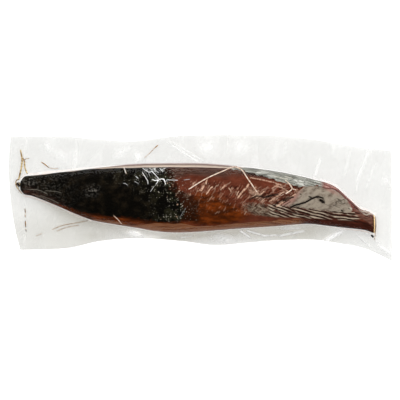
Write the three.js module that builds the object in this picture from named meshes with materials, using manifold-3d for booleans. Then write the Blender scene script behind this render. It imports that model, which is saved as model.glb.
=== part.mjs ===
// A smoked skipjack loin, sealed flat in a clear vacuum pouch.
//
// Frame: millimetres, +Z up. The pack lies on its underside with its origin on the table, below the middle of the
// pouch. +X runs from the tied tail stump to the cut head end, and +Y across the pack, towards its far edge.
//
// Two solids: the loin, with the film drawn tight on it, and the pouch's flat margin, where the two films meet.
// Bits of straw from the smoking lie under the film. Each is fused to the solid that it lies on.

import * as THREE from "three";
import { mergeVertices } from "three/addons/utils/BufferGeometryUtils.js";
import Module from "manifold-3d";

const wasm = await Module();
wasm.setup();

// ---------------------------------------------------------------- driving dimensions

const TAIL_X = -161.5; // end of the tail stump
const HEAD_X = 156.5; // face of the head cut
const STUMP_ROUND = 5; // rounding of the stump, along X
const CUT_ROUND = 2.5; // rounding of the head cut's rim, along X

const SEAM_SHARE = 0.36; // height of the loin's widest line, as a share of its crest's
const LEAN = 0.14; // shift of the crest towards -Y, for each millimetre above that line
const TOP_POWER = 2.3; // superellipse power of the domed top
const FOOT_POWER = 3.4; // and of the foot
const FOOT_PRESS = 0.7; // how far the foot is pressed flat on the table

const POUCH_HEAD_X = 172.5; // the pouch's straight head end
const NEAR_TAIL_X = -161.6; // its tail corner on the near side
const FAR_TAIL_X = -170.5; // and on the far side
const MARGIN_THICK = 0.8; // the two films of the margin, as one sheet
const GAP = 0.65; // clearance between the margin and the loin
const EDGE_Z = 3.4; // usual height of the pouch's free edge above the table
const SEAL_X = -157.2; // heat seal across the tail end

const STRAW_RADIUS = 0.6;
const STRAW_LIFT = 0.2; // height of a straw's axis above what it is pressed into
const KNOT_RADIUS = 2.2;
const RIB_RADIUS = 1.1;
const RIB_LIFT = -0.35; // a rib's axis lies below the surface
const RIBS = 5;
const BEAD_RADIUS = 0.8; // bead of the heat seal
const BEAD_LIFT = -0.1;

// Steps of the surfaces.
const LOIN_STATIONS = 90; // along the loin
const TOP_STEPS = 27; // over its top
const FOOT_STEPS = 10; // under it
const SIDE_STEPS = 45; // along each long side of the margin
const END_STEPS = 12; // along each end of the margin
const MARGIN_STEPS = 6; // from the loin out to the pouch's edge
const STRAND_SIDES = 6; // round a straw or rib
const STRAND_STEP = 4; // along it

// ---------------------------------------------------------------- curves

/** A smooth function of x through [x, value] knots: cubic Hermite pieces, held flat past both ends. */
function through(knots) {
  const last = knots.length - 1;
  const slope = (i) => {
    const [a, b] = [knots[Math.max(i - 1, 0)], knots[Math.min(i + 1, last)]];
    return (b[1] - a[1]) / (b[0] - a[0]);
  };
  return (x) => {
    if (x <= knots[0][0]) return knots[0][1];
    if (x >= knots[last][0]) return knots[last][1];
    const i = knots.findIndex((knot) => knot[0] > x) - 1;
    const [[x0, y0], [x1, y1]] = [knots[i], knots[i + 1]];
    const span = x1 - x0;
    const t = (x - x0) / span;
    const [t2, t3] = [t * t, t * t * t];
    return (
      (2 * t3 - 3 * t2 + 1) * y0 +
      (t3 - 2 * t2 + t) * span * slope(i) +
      (3 * t2 - 2 * t3) * y1 +
      (t3 - t2) * span * slope(i + 1)
    );
  };
}

/** 0 below low, 1 above high, and smooth between them. */
const step = (low, high, value) => THREE.MathUtils.smoothstep(value, low, high);

/** 1 between low and high, falling smoothly to 0 over soft millimetres on both sides. */
const band = (low, high, soft, value) => step(low - soft, low + soft, value) * (1 - step(high - soft, high + soft, value));

// Outline of the loin from above, and the height of its crest.
const upperEdge = through([
  [-161.5, 15], [-158, 18.6], [-151, 19.4], [-125, 22.6], [-81, 28.6], [-45, 31.8], [0, 32], [21, 30],
  [48, 26.8], [76, 22.4], [100, 17], [121, 11.2], [135, 1], [146, -9.2], [153, -11.6], [156.5, -14],
]);
const lowerEdge = through([
  [-161.5, 6.5], [-158, 3.2], [-151, 1.8], [-131, -6], [-108, -15.4], [-91, -20.8], [-67, -25.8],
  [-21, -30.8], [0, -29.8], [37, -27.2], [81, -24.3], [106, -24.8], [127, -27.4], [148, -30], [156.5, -34],
]);
const crest = through([
  [-161.5, 11], [-150, 14], [-125, 20], [-85, 31], [-45, 38.5], [-5, 40], [40, 37.5], [80, 31],
  [112, 23.5], [140, 18], [156.5, 16],
]);
/** Lift of the foot off the table, towards both ends. */
const footLift = (x) => 2.4 * (1 - step(-170, -105, x)) + 1.6 * step(110, 165, x);

// Free edges of the pouch from above: both sides over x, and the tail end over y.
const farEdge = through([
  [-170.5, 55.6], [-120, 55.2], [-90, 52.4], [-58, 51.2], [-22, 55.6], [22, 56.8], [66, 56], [106, 52],
  [136, 46.6], [172.5, 42.4],
]);
const nearEdge = through([
  [-161.6, -46.8], [-119, -45], [-90, -38.8], [-54, -36.2], [-16, -38.8], [13, -42.4], [38, -40.6],
  [64, -38.4], [100, -37.5], [120, -40], [148, -45.5], [172.5, -56.8],
]);
const tailEdge = through([
  [-46.8, -161.6], [-30, -166], [-10, -169.4], [10, -171.6], [29, -172.5], [55.6, -170.5],
]);

// ---------------------------------------------------------------- relief of the loin's top

const SKIN_STEP = 0.7; // the black skin stands proud of the flesh
const MEMBRANE_STEP = 0.6; // and so does the smooth belly membrane
const FLAKE_HEIGHT = 0.9;
const FLAKE_PITCH = 7.5; // spacing of the flaky muscle ends
const FLAKE_SLANT = THREE.MathUtils.degToRad(56); // the way they run, from +X

/** The x where the black skin ends, over y. */
const skinEnd = through([[-24, -22], [-19, -10], [-10, -6], [0, -11], [8, -17], [16, -21], [31, -29]]);
/** The y below which the skin is trimmed away, over x. */
const skinTrim = through([[-150, 1], [-123, -7], [-108, -13.5], [-80, -16.5], [-56, -17.2], [-18, -22.2]]);

/** Share of the black skin at a point, from 0 on bare flesh to 1. */
const skinShare = (x, y) => step(-1.5, 1.5, skinEnd(y) - x) * step(-1.5, 1.5, y - skinTrim(x));

/** Share of the belly membrane at a point: a blunt triangle with its tip towards the tail. */
function membraneShare(x, y) {
  const top = 10 - 0.012 * (x - 104) ** 2;
  const bottom = -9.5 - 0.1 * (x - 100);
  return band(bottom, top, 1.5, y) * band(80, 133, 2, x);
}

/** Height of the flaky muscle ends at a point. */
function flakes(x, y) {
  const across = y * Math.cos(FLAKE_SLANT) - x * Math.sin(FLAKE_SLANT);
  const wave = 0.5 + 0.5 * Math.cos((2 * Math.PI * across) / FLAKE_PITCH);
  return FLAKE_HEIGHT * wave * band(-4, 84, 8, x) * band(-15, 20, 5, y);
}

/** Height that skin, flakes and membrane add to the loin's top at a point. */
const relief = (x, y) => SKIN_STEP * skinShare(x, y) + flakes(x, y) + MEMBRANE_STEP * membraneShare(x, y);

// ---------------------------------------------------------------- the loin

/** The x of a section, from 0 at the tail to 1 at the head: sections stand closer together at both ends. */
const station = (k) => THREE.MathUtils.lerp(TAIL_X, HEAD_X, k - Math.sin(2 * Math.PI * k) / (6.6 * Math.PI));

/** How much of its full section the loin has at x: it rounds off at both ends. */
function endShare(x) {
  const rounded = (distance, length) => Math.sin((Math.PI / 2) * Math.min(distance / length, 1));
  return 0.75 + 0.17 * rounded(x - TAIL_X, STUMP_ROUND) + 0.08 * rounded(HEAD_X - x, CUT_ROUND);
}

/** The loin's section at x: its half width, the y of its middle, and the heights over and under its widest line. */
function section(x) {
  const share = endShare(x);
  const seam = SEAM_SHARE * crest(x);
  return {
    half: (share * (upperEdge(x) - lowerEdge(x))) / 2,
    middle: (upperEdge(x) + lowerEdge(x)) / 2,
    seam,
    rise: share * (crest(x) - seam),
    drop: share * (seam - footLift(x)),
  };
}

/** A point of the loin's surface: angle 0 is its widest line at +Y, a quarter turn the crest, then -Y and the foot. */
function loinPoint(x, angle) {
  const { half, middle, seam, rise, drop } = section(x);
  const onTop = Math.sin(angle) >= 0;
  const power = 2 / (onTop ? TOP_POWER : FOOT_POWER);
  const up = Math.abs(Math.sin(angle)) ** power;
  const across = half * Math.sign(Math.cos(angle)) * Math.abs(Math.cos(angle)) ** power;
  if (!onTop) return new THREE.Vector3(x, middle + across, Math.max(seam - (drop + FOOT_PRESS) * up, footLift(x)));
  const y = middle + across - LEAN * rise * up;
  return new THREE.Vector3(x, y, seam + rise * up + relief(x, y) * step(0.25, 0.75, up));
}

/** The faces between neighbouring rings of points, each ring closed on itself. */
function facesBetween(rings, closed) {
  const count = rings[0].length;
  const faces = [];
  for (let i = 0; i < rings.length - (closed ? 0 : 1); i++) {
    for (let j = 0; j < count; j++) {
      const [ring, next] = [i * count, ((i + 1) % rings.length) * count];
      const [a, b] = [j, (j + 1) % count];
      faces.push(ring + a, ring + b, next + a, ring + b, next + b, next + a);
    }
  }
  return faces;
}

/** The bare loin, lofted from the tail stump to the head cut, with a flat face at both ends. */
function loinGeometry() {
  const angles = [
    ...Array.from({ length: TOP_STEPS }, (_, j) => (Math.PI * j) / TOP_STEPS),
    ...Array.from({ length: FOOT_STEPS }, (_, j) => Math.PI * (1 + j / FOOT_STEPS)),
  ];
  const rings = Array.from({ length: LOIN_STATIONS + 1 }, (_, i) => {
    const x = station(i / LOIN_STATIONS);
    return angles.map((angle) => loinPoint(x, angle));
  });
  const points = rings.flat();
  const faces = facesBetween(rings, false);
  const count = angles.length;
  [rings[0], rings.at(-1)].forEach((ring, end) => {
    const start = end ? LOIN_STATIONS * count : 0;
    const hub = points.length;
    points.push(ring.reduce((sum, point) => sum.add(point), new THREE.Vector3()).divideScalar(count));
    for (let j = 0; j < count; j++) {
      const [a, b] = [start + j, start + ((j + 1) % count)];
      faces.push(hub, ...(end ? [a, b] : [b, a]));
    }
  });
  return new THREE.BufferGeometry().setFromPoints(points).setIndex(faces);
}

// ---------------------------------------------------------------- the pouch's margin

// Creases of the film: from (x, y) to (x, y), height and half width.
const CREASES = [
  [-30, 51, -3, 33, 1.3, 1.6], [-50, 34, -38, 47, 1, 1.5], [-78, 36, -65, 47, 1.4, 3],
  [-140, 47, -118, 36, 1.2, 3.5], [-113, 54, -114, 28, 0.8, 1.5], [22, 54, 22, 34, 0.9, 1.6],
  [30, 36, 52, 52, 1.2, 3.6], [60, 36, 68, 53, 1.2, 2.2], [76, 52, 80, 30, 1.1, 3],
  [92, 50, 96, 33, 1.3, 3.5], [108, 47, 120, 26, 1.3, 3.2], [124, 26, 134, 44, 1.4, 2.2],
  [142, 16, 154, 44, 1.4, 1.8], [147, 5, 165, 38, 1.3, 1.8], [160, -6, 172, 12, 1, 1.8],
  [114, -37, 128, -29, 1.2, 1.6], [141, -32, 156, -47, 1.2, 1.8], [158, -38, 172, -50, 1.2, 1.8],
  [36, -33, 86, -32, 0.6, 1.3], [-64, -31, -52, -36, 1, 3],
];

/** Height that the creases add to the margin at a point. */
function creased(x, y) {
  return CREASES.reduce((sum, [x0, y0, x1, y1, height, half]) => {
    const [dx, dy] = [x1 - x0, y1 - y0];
    const along = ((x - x0) * dx + (y - y0) * dy) / (dx * dx + dy * dy);
    const aside = ((x - x0) * dy - (y - y0) * dx) / Math.hypot(dx, dy);
    return sum + height * Math.exp(-((aside / half) ** 2)) * band(0, 1, 0.12, along);
  }, 0);
}

/** Slow curl of the pouch's free edge, at a way round it from 0 to 1. */
function curl(round) {
  const turn = 2 * Math.PI * round;
  return 0.9 * Math.sin(5 * turn + 0.6) + 0.6 * Math.sin(11 * turn + 2.5);
}

/** Height of the margin at a point, out from the loin at 0 to the free edge at 1. */
function marginHeight({ x, y }, out, round) {
  const held = SEAM_SHARE * crest(x);
  return THREE.MathUtils.lerp(held, EDGE_Z + curl(round), step(-0.35, 1, out)) + creased(x, y) * step(0, 0.3, out);
}

/** Shares of an end of the margin, between its corners. */
const endShares = () => Array.from({ length: END_STEPS - 1 }, (_, i) => (i + 1) / END_STEPS);

/** Points GAP outside the loin's outline, anticlockwise from its near corner at the tail. */
function loinOutline() {
  const side = (sign) =>
    Array.from({ length: SIDE_STEPS + 1 }, (_, i) => {
      const x = station(i / SIDE_STEPS);
      const { middle, half } = section(x);
      return new THREE.Vector2(x, middle + sign * half);
    });
  const end = (x) => {
    const { middle, half } = section(x);
    return endShares().map((k) => new THREE.Vector2(x, middle + half * (2 * k - 1)));
  };
  const points = [...side(-1), ...end(HEAD_X), ...side(1).reverse(), ...end(TAIL_X).reverse()];
  return points.map((point, i) => {
    const along = points[(i + 1) % points.length].clone().sub(points.at(i - 1)).normalize();
    return point.clone().addScaledVector(new THREE.Vector2(along.y, -along.x), GAP);
  });
}

/** Points on the pouch's free edge that face those of the loin's outline. */
function pouchOutline() {
  const lerp = THREE.MathUtils.lerp;
  const side = (edge, tailX) =>
    Array.from({ length: SIDE_STEPS + 1 }, (_, i) => {
      const x = lerp(tailX, POUCH_HEAD_X, (station(i / SIDE_STEPS) - TAIL_X) / (HEAD_X - TAIL_X));
      return new THREE.Vector2(x, edge(x));
    });
  const head = endShares().map((k) => lerp(nearEdge(POUCH_HEAD_X), farEdge(POUCH_HEAD_X), k));
  const tail = endShares().map((k) => lerp(farEdge(FAR_TAIL_X), nearEdge(NEAR_TAIL_X), k));
  return [
    ...side(nearEdge, NEAR_TAIL_X),
    ...head.map((y) => new THREE.Vector2(POUCH_HEAD_X, y)),
    ...side(farEdge, FAR_TAIL_X).reverse(),
    ...tail.map((y) => new THREE.Vector2(tailEdge(y), y)),
  ];
}

/** The margin's sheet: a ring of film round the loin. */
function marginGeometry() {
  const outline = loinOutline();
  const rings = pouchOutline().map((outer, i) => {
    const sheet = Array.from({ length: MARGIN_STEPS + 1 }, (_, j) => {
      const out = j / MARGIN_STEPS;
      const point = outline[i].clone().lerp(outer, out);
      return new THREE.Vector3(point.x, point.y, marginHeight(point, out, i / outline.length));
    });
    const face = (side) => sheet.map(({ x, y, z }) => new THREE.Vector3(x, y, z + (side * MARGIN_THICK) / 2));
    return [...face(1), ...face(-1).reverse()];
  });
  return new THREE.BufferGeometry().setFromPoints(rings.flat()).setIndex(facesBetween(rings, true));
}

// ---------------------------------------------------------------- straw, ribs and seal

// Straws that cross the loin, as [x, y] points.
const LOIN_STRAWS = [
  [[-11, 7.4], [13, 21], [24, 25.4], [29.5, 27.4]],
  [[30.5, 27.4], [38, 23.5], [44, 15], [51, 4.4]],
  [[-68.4, 27], [-66, 21.5]],
  [[-79.5, -14.4], [-74, -18.6], [-71, -22]],
  [[76, 14], [81, 10], [82.6, 6.2], [76.4, 1.9]],
];

// Straws between the two films of the margin. The first five tie the tail stump.
const MARGIN_STRAWS = [
  [[-161.8, 42.8], [-160.1, 34.1], [-160.9, 26.9], [-162.8, 20.6], [-164, 11.4]],
  [[-160.4, 36.8], [-158.1, 33.2], [-157.7, 27.8], [-155.9, 23.6]],
  [[-158.8, 35.2], [-153.4, 36]],
  [[-164, 11.4], [-165.6, 6.6], [-163.2, 2.6]],
  [[-165.8, 14.2], [-164, 11.4]],
  [[-143.3, 32.8], [-136.5, 27.8], [-131, 26.6], [-121.7, 26]],
  [[-132.9, -28.4], [-123.9, -24.8], [-111.8, -22.6], [-104, -21]],
  [[-128.9, -29.8], [-119, -26.2], [-109, -24.6]],
  [[SEAL_X, -9.2], [SEAL_X + 0.4, -19]],
  [[SEAL_X + 0.2, -21], [SEAL_X - 0.3, -30.2]],
  [[-41.4, 44.4], [-38, 47.3]],
];

// The bead of the heat seal, on both sides of the tail stump.
const SEAL_ROUTES = [
  [[SEAL_X - 0.6, -45], [SEAL_X, -2]],
  [[SEAL_X, 22.6], [SEAL_X + 0.8, 54.4]],
];

/** Finds the height of a geometry's upper face at (x, y). */
function heightOn(geometry) {
  const target = new THREE.Mesh(geometry, new THREE.MeshBasicMaterial({ side: THREE.DoubleSide }));
  const [down, above] = [new THREE.Vector3(0, 0, -1), 100];
  return (x, y) => new THREE.Raycaster(new THREE.Vector3(x, y, above), down).intersectObject(target)[0].point.z;
}

/** A round strand of a radius, laid through [x, y] points on a surface, with its axis that far above it. */
function strand(points, height, radius, lift) {
  const route = new THREE.CatmullRomCurve3(points.map(([x, y]) => new THREE.Vector3(x, y, 0)), false, "centripetal");
  const steps = Math.max(2, Math.round(route.getLength() / STRAND_STEP));
  const laid = route.getSpacedPoints(steps).map(({ x, y }) => new THREE.Vector3(x, y, height(x, y) + lift));
  const round = new THREE.Shape(
    Array.from({ length: STRAND_SIDES }, (_, i) => {
      const angle = (2 * Math.PI * i) / STRAND_SIDES;
      return new THREE.Vector2(radius * Math.cos(angle), radius * Math.sin(angle));
    }),
  );
  return new THREE.ExtrudeGeometry(round, { steps, extrudePath: new THREE.CatmullRomCurve3(laid) });
}

/** The ridges that the ribs left below the belly membrane, each a little nearer to the head than the last. */
const ribRoutes = () =>
  Array.from({ length: RIBS }, (_, i) => {
    const [x, y] = [72 + 13 * i, -8.6 - 0.9 * i];
    return [[x, y], [x + 20, y - 6.6 + 0.9 * i], [x + 40 - 4 * i, y - 11 + 1.6 * i]];
  });

// ---------------------------------------------------------------- assembly

/** A geometry as a manifold solid, with its shared vertices merged. */
function solid(geometry) {
  const bare = geometry.clone().deleteAttribute("normal").deleteAttribute("uv");
  const merged = mergeVertices(bare, 1e-4);
  return new wasm.Manifold(
    new wasm.Mesh({
      numProp: 3,
      vertProperties: new Float32Array(merged.attributes.position.array),
      triVerts: new Uint32Array(merged.index.array),
    }),
  );
}

/** One named mesh from a base geometry and the pieces fused to it. */
function fused(name, material, base, pieces) {
  const { vertProperties, triVerts } = pieces.reduce((sum, piece) => sum.add(solid(piece)), solid(base)).getMesh();
  const geometry = new THREE.BufferGeometry()
    .setAttribute("position", new THREE.BufferAttribute(vertProperties, 3))
    .setIndex(new THREE.BufferAttribute(triVerts, 1));
  geometry.computeVertexNormals();
  const mesh = new THREE.Mesh(geometry, material);
  mesh.name = name;
  return mesh;
}

/** The loin with its ribs and the straws on it. */
function smokedLoin() {
  const base = loinGeometry();
  const height = heightOn(base);
  const flesh = new THREE.MeshStandardMaterial({ color: 0x67392a, roughness: 0.35, metalness: 0 });
  return fused("smoked_loin", flesh, base, [
    ...ribRoutes().map((route) => strand(route, height, RIB_RADIUS, RIB_LIFT)),
    ...LOIN_STRAWS.map((route) => strand(route, height, STRAW_RADIUS, STRAW_LIFT)),
  ]);
}

/** The pouch's margin with its heat seal, the tie's knot and the straws between its films. */
function pouchMargin() {
  const base = marginGeometry();
  const height = heightOn(base);
  const film = new THREE.MeshStandardMaterial({ color: 0xe9eae6, roughness: 0.15, metalness: 0 });
  film.transparent = true;
  film.opacity = 0.4;
  const [knotX, knotY] = MARGIN_STRAWS[0].at(-1);
  const knot = new THREE.IcosahedronGeometry(KNOT_RADIUS, 1).scale(0.7, 1, 0.6);
  knot.translate(knotX, knotY, height(knotX, knotY));
  return fused("pouch_margin", film, base, [
    knot,
    ...SEAL_ROUTES.map((route) => strand(route, height, BEAD_RADIUS, BEAD_LIFT)),
    ...MARGIN_STRAWS.map((route) => strand(route, height, STRAW_RADIUS, STRAW_LIFT)),
  ]);
}

const pack = new THREE.Group();
pack.add(smokedLoin(), pouchMargin());

export default pack;
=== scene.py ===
"""A smoked skipjack loin, sealed flat in a clear vacuum pouch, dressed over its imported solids.

The code counts in millimetres, in the part's own frame: +X from the tied tail stump to the cut head end, +Y
across the pack and +Z up, out of the side that shows. Meshes are scaled to metres as they are finished.
"""

from __future__ import annotations

import logging
import math
from dataclasses import dataclass, field
from enum import Enum
from typing import Sequence

import bmesh
import bpy
import numpy as np
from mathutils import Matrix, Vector


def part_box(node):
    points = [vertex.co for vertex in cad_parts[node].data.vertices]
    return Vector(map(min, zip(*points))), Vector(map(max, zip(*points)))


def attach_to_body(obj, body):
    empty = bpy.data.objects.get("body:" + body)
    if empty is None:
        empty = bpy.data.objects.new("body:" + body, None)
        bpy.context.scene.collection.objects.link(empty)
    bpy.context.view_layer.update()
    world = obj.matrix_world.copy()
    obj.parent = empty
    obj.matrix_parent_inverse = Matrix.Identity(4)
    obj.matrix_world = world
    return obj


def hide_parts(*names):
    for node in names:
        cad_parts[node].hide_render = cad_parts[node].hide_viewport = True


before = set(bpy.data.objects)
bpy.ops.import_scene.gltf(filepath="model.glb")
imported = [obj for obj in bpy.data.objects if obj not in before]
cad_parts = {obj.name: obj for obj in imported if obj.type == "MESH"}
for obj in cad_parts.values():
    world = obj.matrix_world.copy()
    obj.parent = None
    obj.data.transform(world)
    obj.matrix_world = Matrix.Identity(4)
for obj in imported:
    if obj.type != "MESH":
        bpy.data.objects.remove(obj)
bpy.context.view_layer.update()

LOG = logging.getLogger("smoked_loin")
MM = 0.001
BODY = "root"
LOIN_NODE = "smoked_loin"
MARGIN_NODE = "pouch_margin"

RIB_PITCH = 2.5  # distance between two ribs
RELIEF_SINK = 0.4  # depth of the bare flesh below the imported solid's top
MERGE = 0.02  # distance at which vertices are merged
SLIVER = 0.005  # length below which edges are dissolved
FAR_OFF = 1e9  # farther than any distance on the pack

Array = np.ndarray
Socket = bpy.types.NodeSocket
Pair = tuple[float, float]
Triple = tuple[float, float, float]
Route = Sequence[Pair]


def node_box(node: str) -> tuple[Array, Array]:
    """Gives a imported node's box in millimetres.

    Args:
        node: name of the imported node.

    Returns:
        Its lowest and highest corners.
    """
    low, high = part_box(node)
    return np.array(low) / MM, np.array(high) / MM


LOIN_LOW, LOIN_HIGH = node_box(LOIN_NODE)
POUCH_HIGH = node_box(MARGIN_NODE)[1]


# ---------------------------------------------------------------- curves and patterns over the pack


class Profile:
    """A smooth curve of one variable through knots, held flat past both ends."""

    def __init__(self, *knots: Pair) -> None:
        """Takes the knots and sets the curve's slope at each.

        Args:
            knots: places and the curve's values there, in rising order of the places.
        """
        self.at, self.value = np.array(knots, float).T
        last = len(knots) - 1
        before = np.maximum(np.arange(len(knots)) - 1, 0)
        after = np.minimum(np.arange(len(knots)) + 1, last)
        self.slope = (self.value[after] - self.value[before]) / (self.at[after] - self.at[before])

    def __call__(self, x: Array | float) -> Array:
        """Reads the curve.

        Args:
            x: where to read it.

        Returns:
            Its value at each x.
        """
        x = np.clip(x, self.at[0], self.at[-1])
        i = np.clip(np.searchsorted(self.at, x, side="right") - 1, 0, len(self.at) - 2)
        span = self.at[i + 1] - self.at[i]
        t = (x - self.at[i]) / span
        rise = (2 * t**3 - 3 * t**2 + 1) * self.value[i] + (3 * t**2 - 2 * t**3) * self.value[i + 1]
        lean = (t**3 - 2 * t**2 + t) * self.slope[i] + (t**3 - t**2) * self.slope[i + 1]
        return rise + span * lean


def step(low: float, high: float, value: Array) -> Array:
    """Gives 0 below low, 1 above high, and a smooth rise between them."""
    t = np.clip((np.asarray(value, float) - low) / (high - low), 0, 1)
    return t * t * (3 - 2 * t)


def band(low: Array, high: Array, soft: float, value: Array) -> Array:
    """Gives 1 between low and high, with smooth ends over soft millimetres on both sides."""
    return step(-soft, soft, value - low) * (1 - step(-soft, soft, value - high))


def ripple(x: Array, y: Array, size: float, seed: int) -> Array:
    """Sums plane waves in random directions into a smooth, uneven pattern.

    Args:
        x: places along the pack.
        y: places across it.
        size: usual distance between two crests.
        seed: seed of the random directions.

    Returns:
        Heights of about -1 to 1.
    """
    waves = 9
    draw = np.random.default_rng(seed)
    total = np.zeros(np.broadcast(x, y).shape)
    for _ in range(waves):
        angle, phase = draw.uniform(0, 2 * math.pi, 2)
        pitch = size * draw.uniform(0.6, 1.5)
        total += np.sin((x * math.cos(angle) + y * math.sin(angle)) * 2 * math.pi / pitch + phase)
    return total / (1.3 * math.sqrt(waves))


def spot(x: Array, y: Array, place: Pair, reach: Pair, slant: float = 0) -> Array:
    """Gives a soft oval spot: 1 at its middle, and about a third at its rim.

    Args:
        x: places along the pack.
        y: places across it.
        place: the spot's middle.
        reach: its half length and half width.
        slant: its turn from +X, in degrees.

    Returns:
        The spot's share at each place.
    """
    c, s = math.cos(math.radians(slant)), math.sin(math.radians(slant))
    dx, dy = x - place[0], y - place[1]
    return np.exp(-(((dx * c + dy * s) / reach[0]) ** 2) - ((dy * c - dx * s) / reach[1]) ** 2)


def away(x: Array, y: Array, route: Route) -> Array:
    """Measures the distance from each place to a route of straight runs.

    Args:
        x: places along the pack.
        y: places across it.
        route: the route.

    Returns:
        The distances.
    """
    best = np.full(np.broadcast(x, y).shape, FAR_OFF)
    for (x0, y0), (x1, y1) in zip(route, route[1:]):
        dx, dy = x1 - x0, y1 - y0
        t = np.clip(((x - x0) * dx + (y - y0) * dy) / (dx * dx + dy * dy), 0, 1)
        best = np.minimum(best, np.hypot(x - x0 - t * dx, y - y0 - t * dy))
    return best


def line(x: Array, y: Array, route: Route, half: float) -> Array:
    """Gives a soft line along a route: 1 on it, and about a third at its half width."""
    return np.exp(-((away(x, y, route) / half) ** 2))


# ---------------------------------------------------------------- the loin's form


@dataclass(frozen=True)
class LoinForm:
    """The loin's outer form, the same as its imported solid's.

    Attributes:
        tail_x: end of the tail stump.
        head_x: face of the head cut.
        seam_share: height of the widest line, as a share of the crest's.
        lean: shift of the crest towards -Y, for each millimetre above that line.
        top_power: superellipse power of the domed top.
        foot_power: superellipse power of the foot.
        foot_press: how far the foot is pressed flat.
        stump_round: rounding of the stump, along X.
        cut_round: rounding of the head cut's rim, along X.
        end_shares: shares of the full section that are left at the ends, and that each rounding adds.
        solving_rounds: rounds that solve the dome for its height.
    """

    tail_x: float = float(LOIN_LOW[0])
    head_x: float = float(LOIN_HIGH[0])
    seam_share: float = 0.36
    lean: float = 0.14
    top_power: float = 2.3
    foot_power: float = 3.4
    foot_press: float = 0.7
    stump_round: float = 3.2
    cut_round: float = 2.5
    end_shares: Triple = (0.75, 0.17, 0.08)
    solving_rounds: int = 14

    upper_edge: Profile = Profile(
        (-161.5, 15.6), (-158, 19.2), (-151, 20.2), (-125, 23.2), (-95, 26.6), (-76, 28.6), (-45, 30.1),
        (0, 30.2), (21, 28.8), (48, 26.6), (76, 22.4), (100, 17), (120, 10.8), (134, -1), (144, -9.8),
        (150, -12), (156.5, -15.6),
    )
    lower_edge: Profile = Profile(
        (-161.5, 6.5), (-158, 3.2), (-151, 1.8), (-131, -6), (-110, -15), (-96, -20), (-81, -22.8),
        (-67, -25), (-52, -27.4), (-42, -29.3), (-24, -30.7), (-8, -30.4), (5, -29.5), (34, -27.2),
        (63, -25.4), (92, -23.2), (100, -23.2), (113, -24.8), (127, -26.4), (148, -28.9), (156.5, -32),
    )
    crest: Profile = Profile(
        (-161.5, 11), (-150, 14), (-125, 20), (-85, 31), (-45, 38.5), (-5, 40), (40, 37.5), (80, 31),
        (112, 23.5), (140, 18), (156.5, 16),
    )

    def foot_lift(self, x: Array) -> Array:
        """Gives the lift of the foot off the table, towards both ends."""
        return 2.4 * (1 - step(-170, -105, x)) + 1.6 * step(110, 165, x)

    def end_share(self, x: Array) -> Array:
        """Rounds the loin off at both ends.

        Args:
            x: places of sections.

        Returns:
            The share of its full section that the loin has at each place.
        """
        tail = np.sin(np.pi / 2 * np.clip((x - self.tail_x) / self.stump_round, 0, 1))
        head = np.sin(np.pi / 2 * np.clip((self.head_x - x) / self.cut_round, 0, 1))
        left, tail_share, head_share = self.end_shares
        return left + tail_share * tail**0.6 + head_share * head

    def section(self, x: Array, proud: float = 0) -> tuple[Array, ...]:
        """Measures the loin's section.

        Args:
            x: places of the sections.
            proud: how far a surface round the loin stands off it.

        Returns:
            The half width, the y of the middle, the height of the widest line, and the heights over and
            under it.
        """
        share = self.end_share(x)
        crest = self.crest(x)
        seam = self.seam_share * crest
        half = share * (self.upper_edge(x) - self.lower_edge(x)) / 2 + proud
        middle = (self.upper_edge(x) + self.lower_edge(x)) / 2
        return half, middle, seam, share * (crest - seam) + proud, share * (seam - self.foot_lift(x)) + proud

    def surface(self, x: Array, angle: Array, proud: float = 0) -> tuple[Array, ...]:
        """Places points on the loin.

        Args:
            x: places along the loin.
            angle: way round the section, from the widest line at +Y over the crest, -Y and the foot.
            proud: how far the points stand off the loin.

        Returns:
            The points' y and z, and how far up the dome each lies: 0 at the widest line, 1 at the crest.
        """
        half, middle, seam, rise, drop = self.section(x, proud)
        c, s = np.cos(angle), np.sin(angle)
        top = s >= 0
        power = np.where(top, 2 / self.top_power, 2 / self.foot_power)
        up = np.abs(s) ** power
        across = half * np.sign(c) * np.abs(c) ** power
        z_top = seam + rise * up
        z_foot = np.maximum(seam - (drop + self.foot_press) * up, self.foot_lift(x) - proud)
        y = middle + across - np.where(top, self.lean * rise * up, 0)
        return y, np.where(top, z_top, z_foot), np.where(top, up, 0)

    def height(self, x: Array, y: Array) -> Array:
        """Measures the loin's bare top from above.

        Args:
            x: places along the pack.
            y: places across it.

        Returns:
            The height at each place.
        """
        half, middle, seam, rise, _ = self.section(x)
        up = np.full(np.broadcast(x, y).shape, 0.5)
        for _ in range(self.solving_rounds):
            across = np.minimum(np.abs(y + self.lean * rise * up - middle) / half, 1)
            up = (1 - across**self.top_power) ** (1 / self.top_power)
        return seam + rise * up


CRACK: Route = (
    (80.5, -8.6), (84, -6.8), (89.5, -5.2), (93, -4.4), (98, -1.6), (102, 0.4), (106, 0.9), (109.5, -0.4),
)


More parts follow.
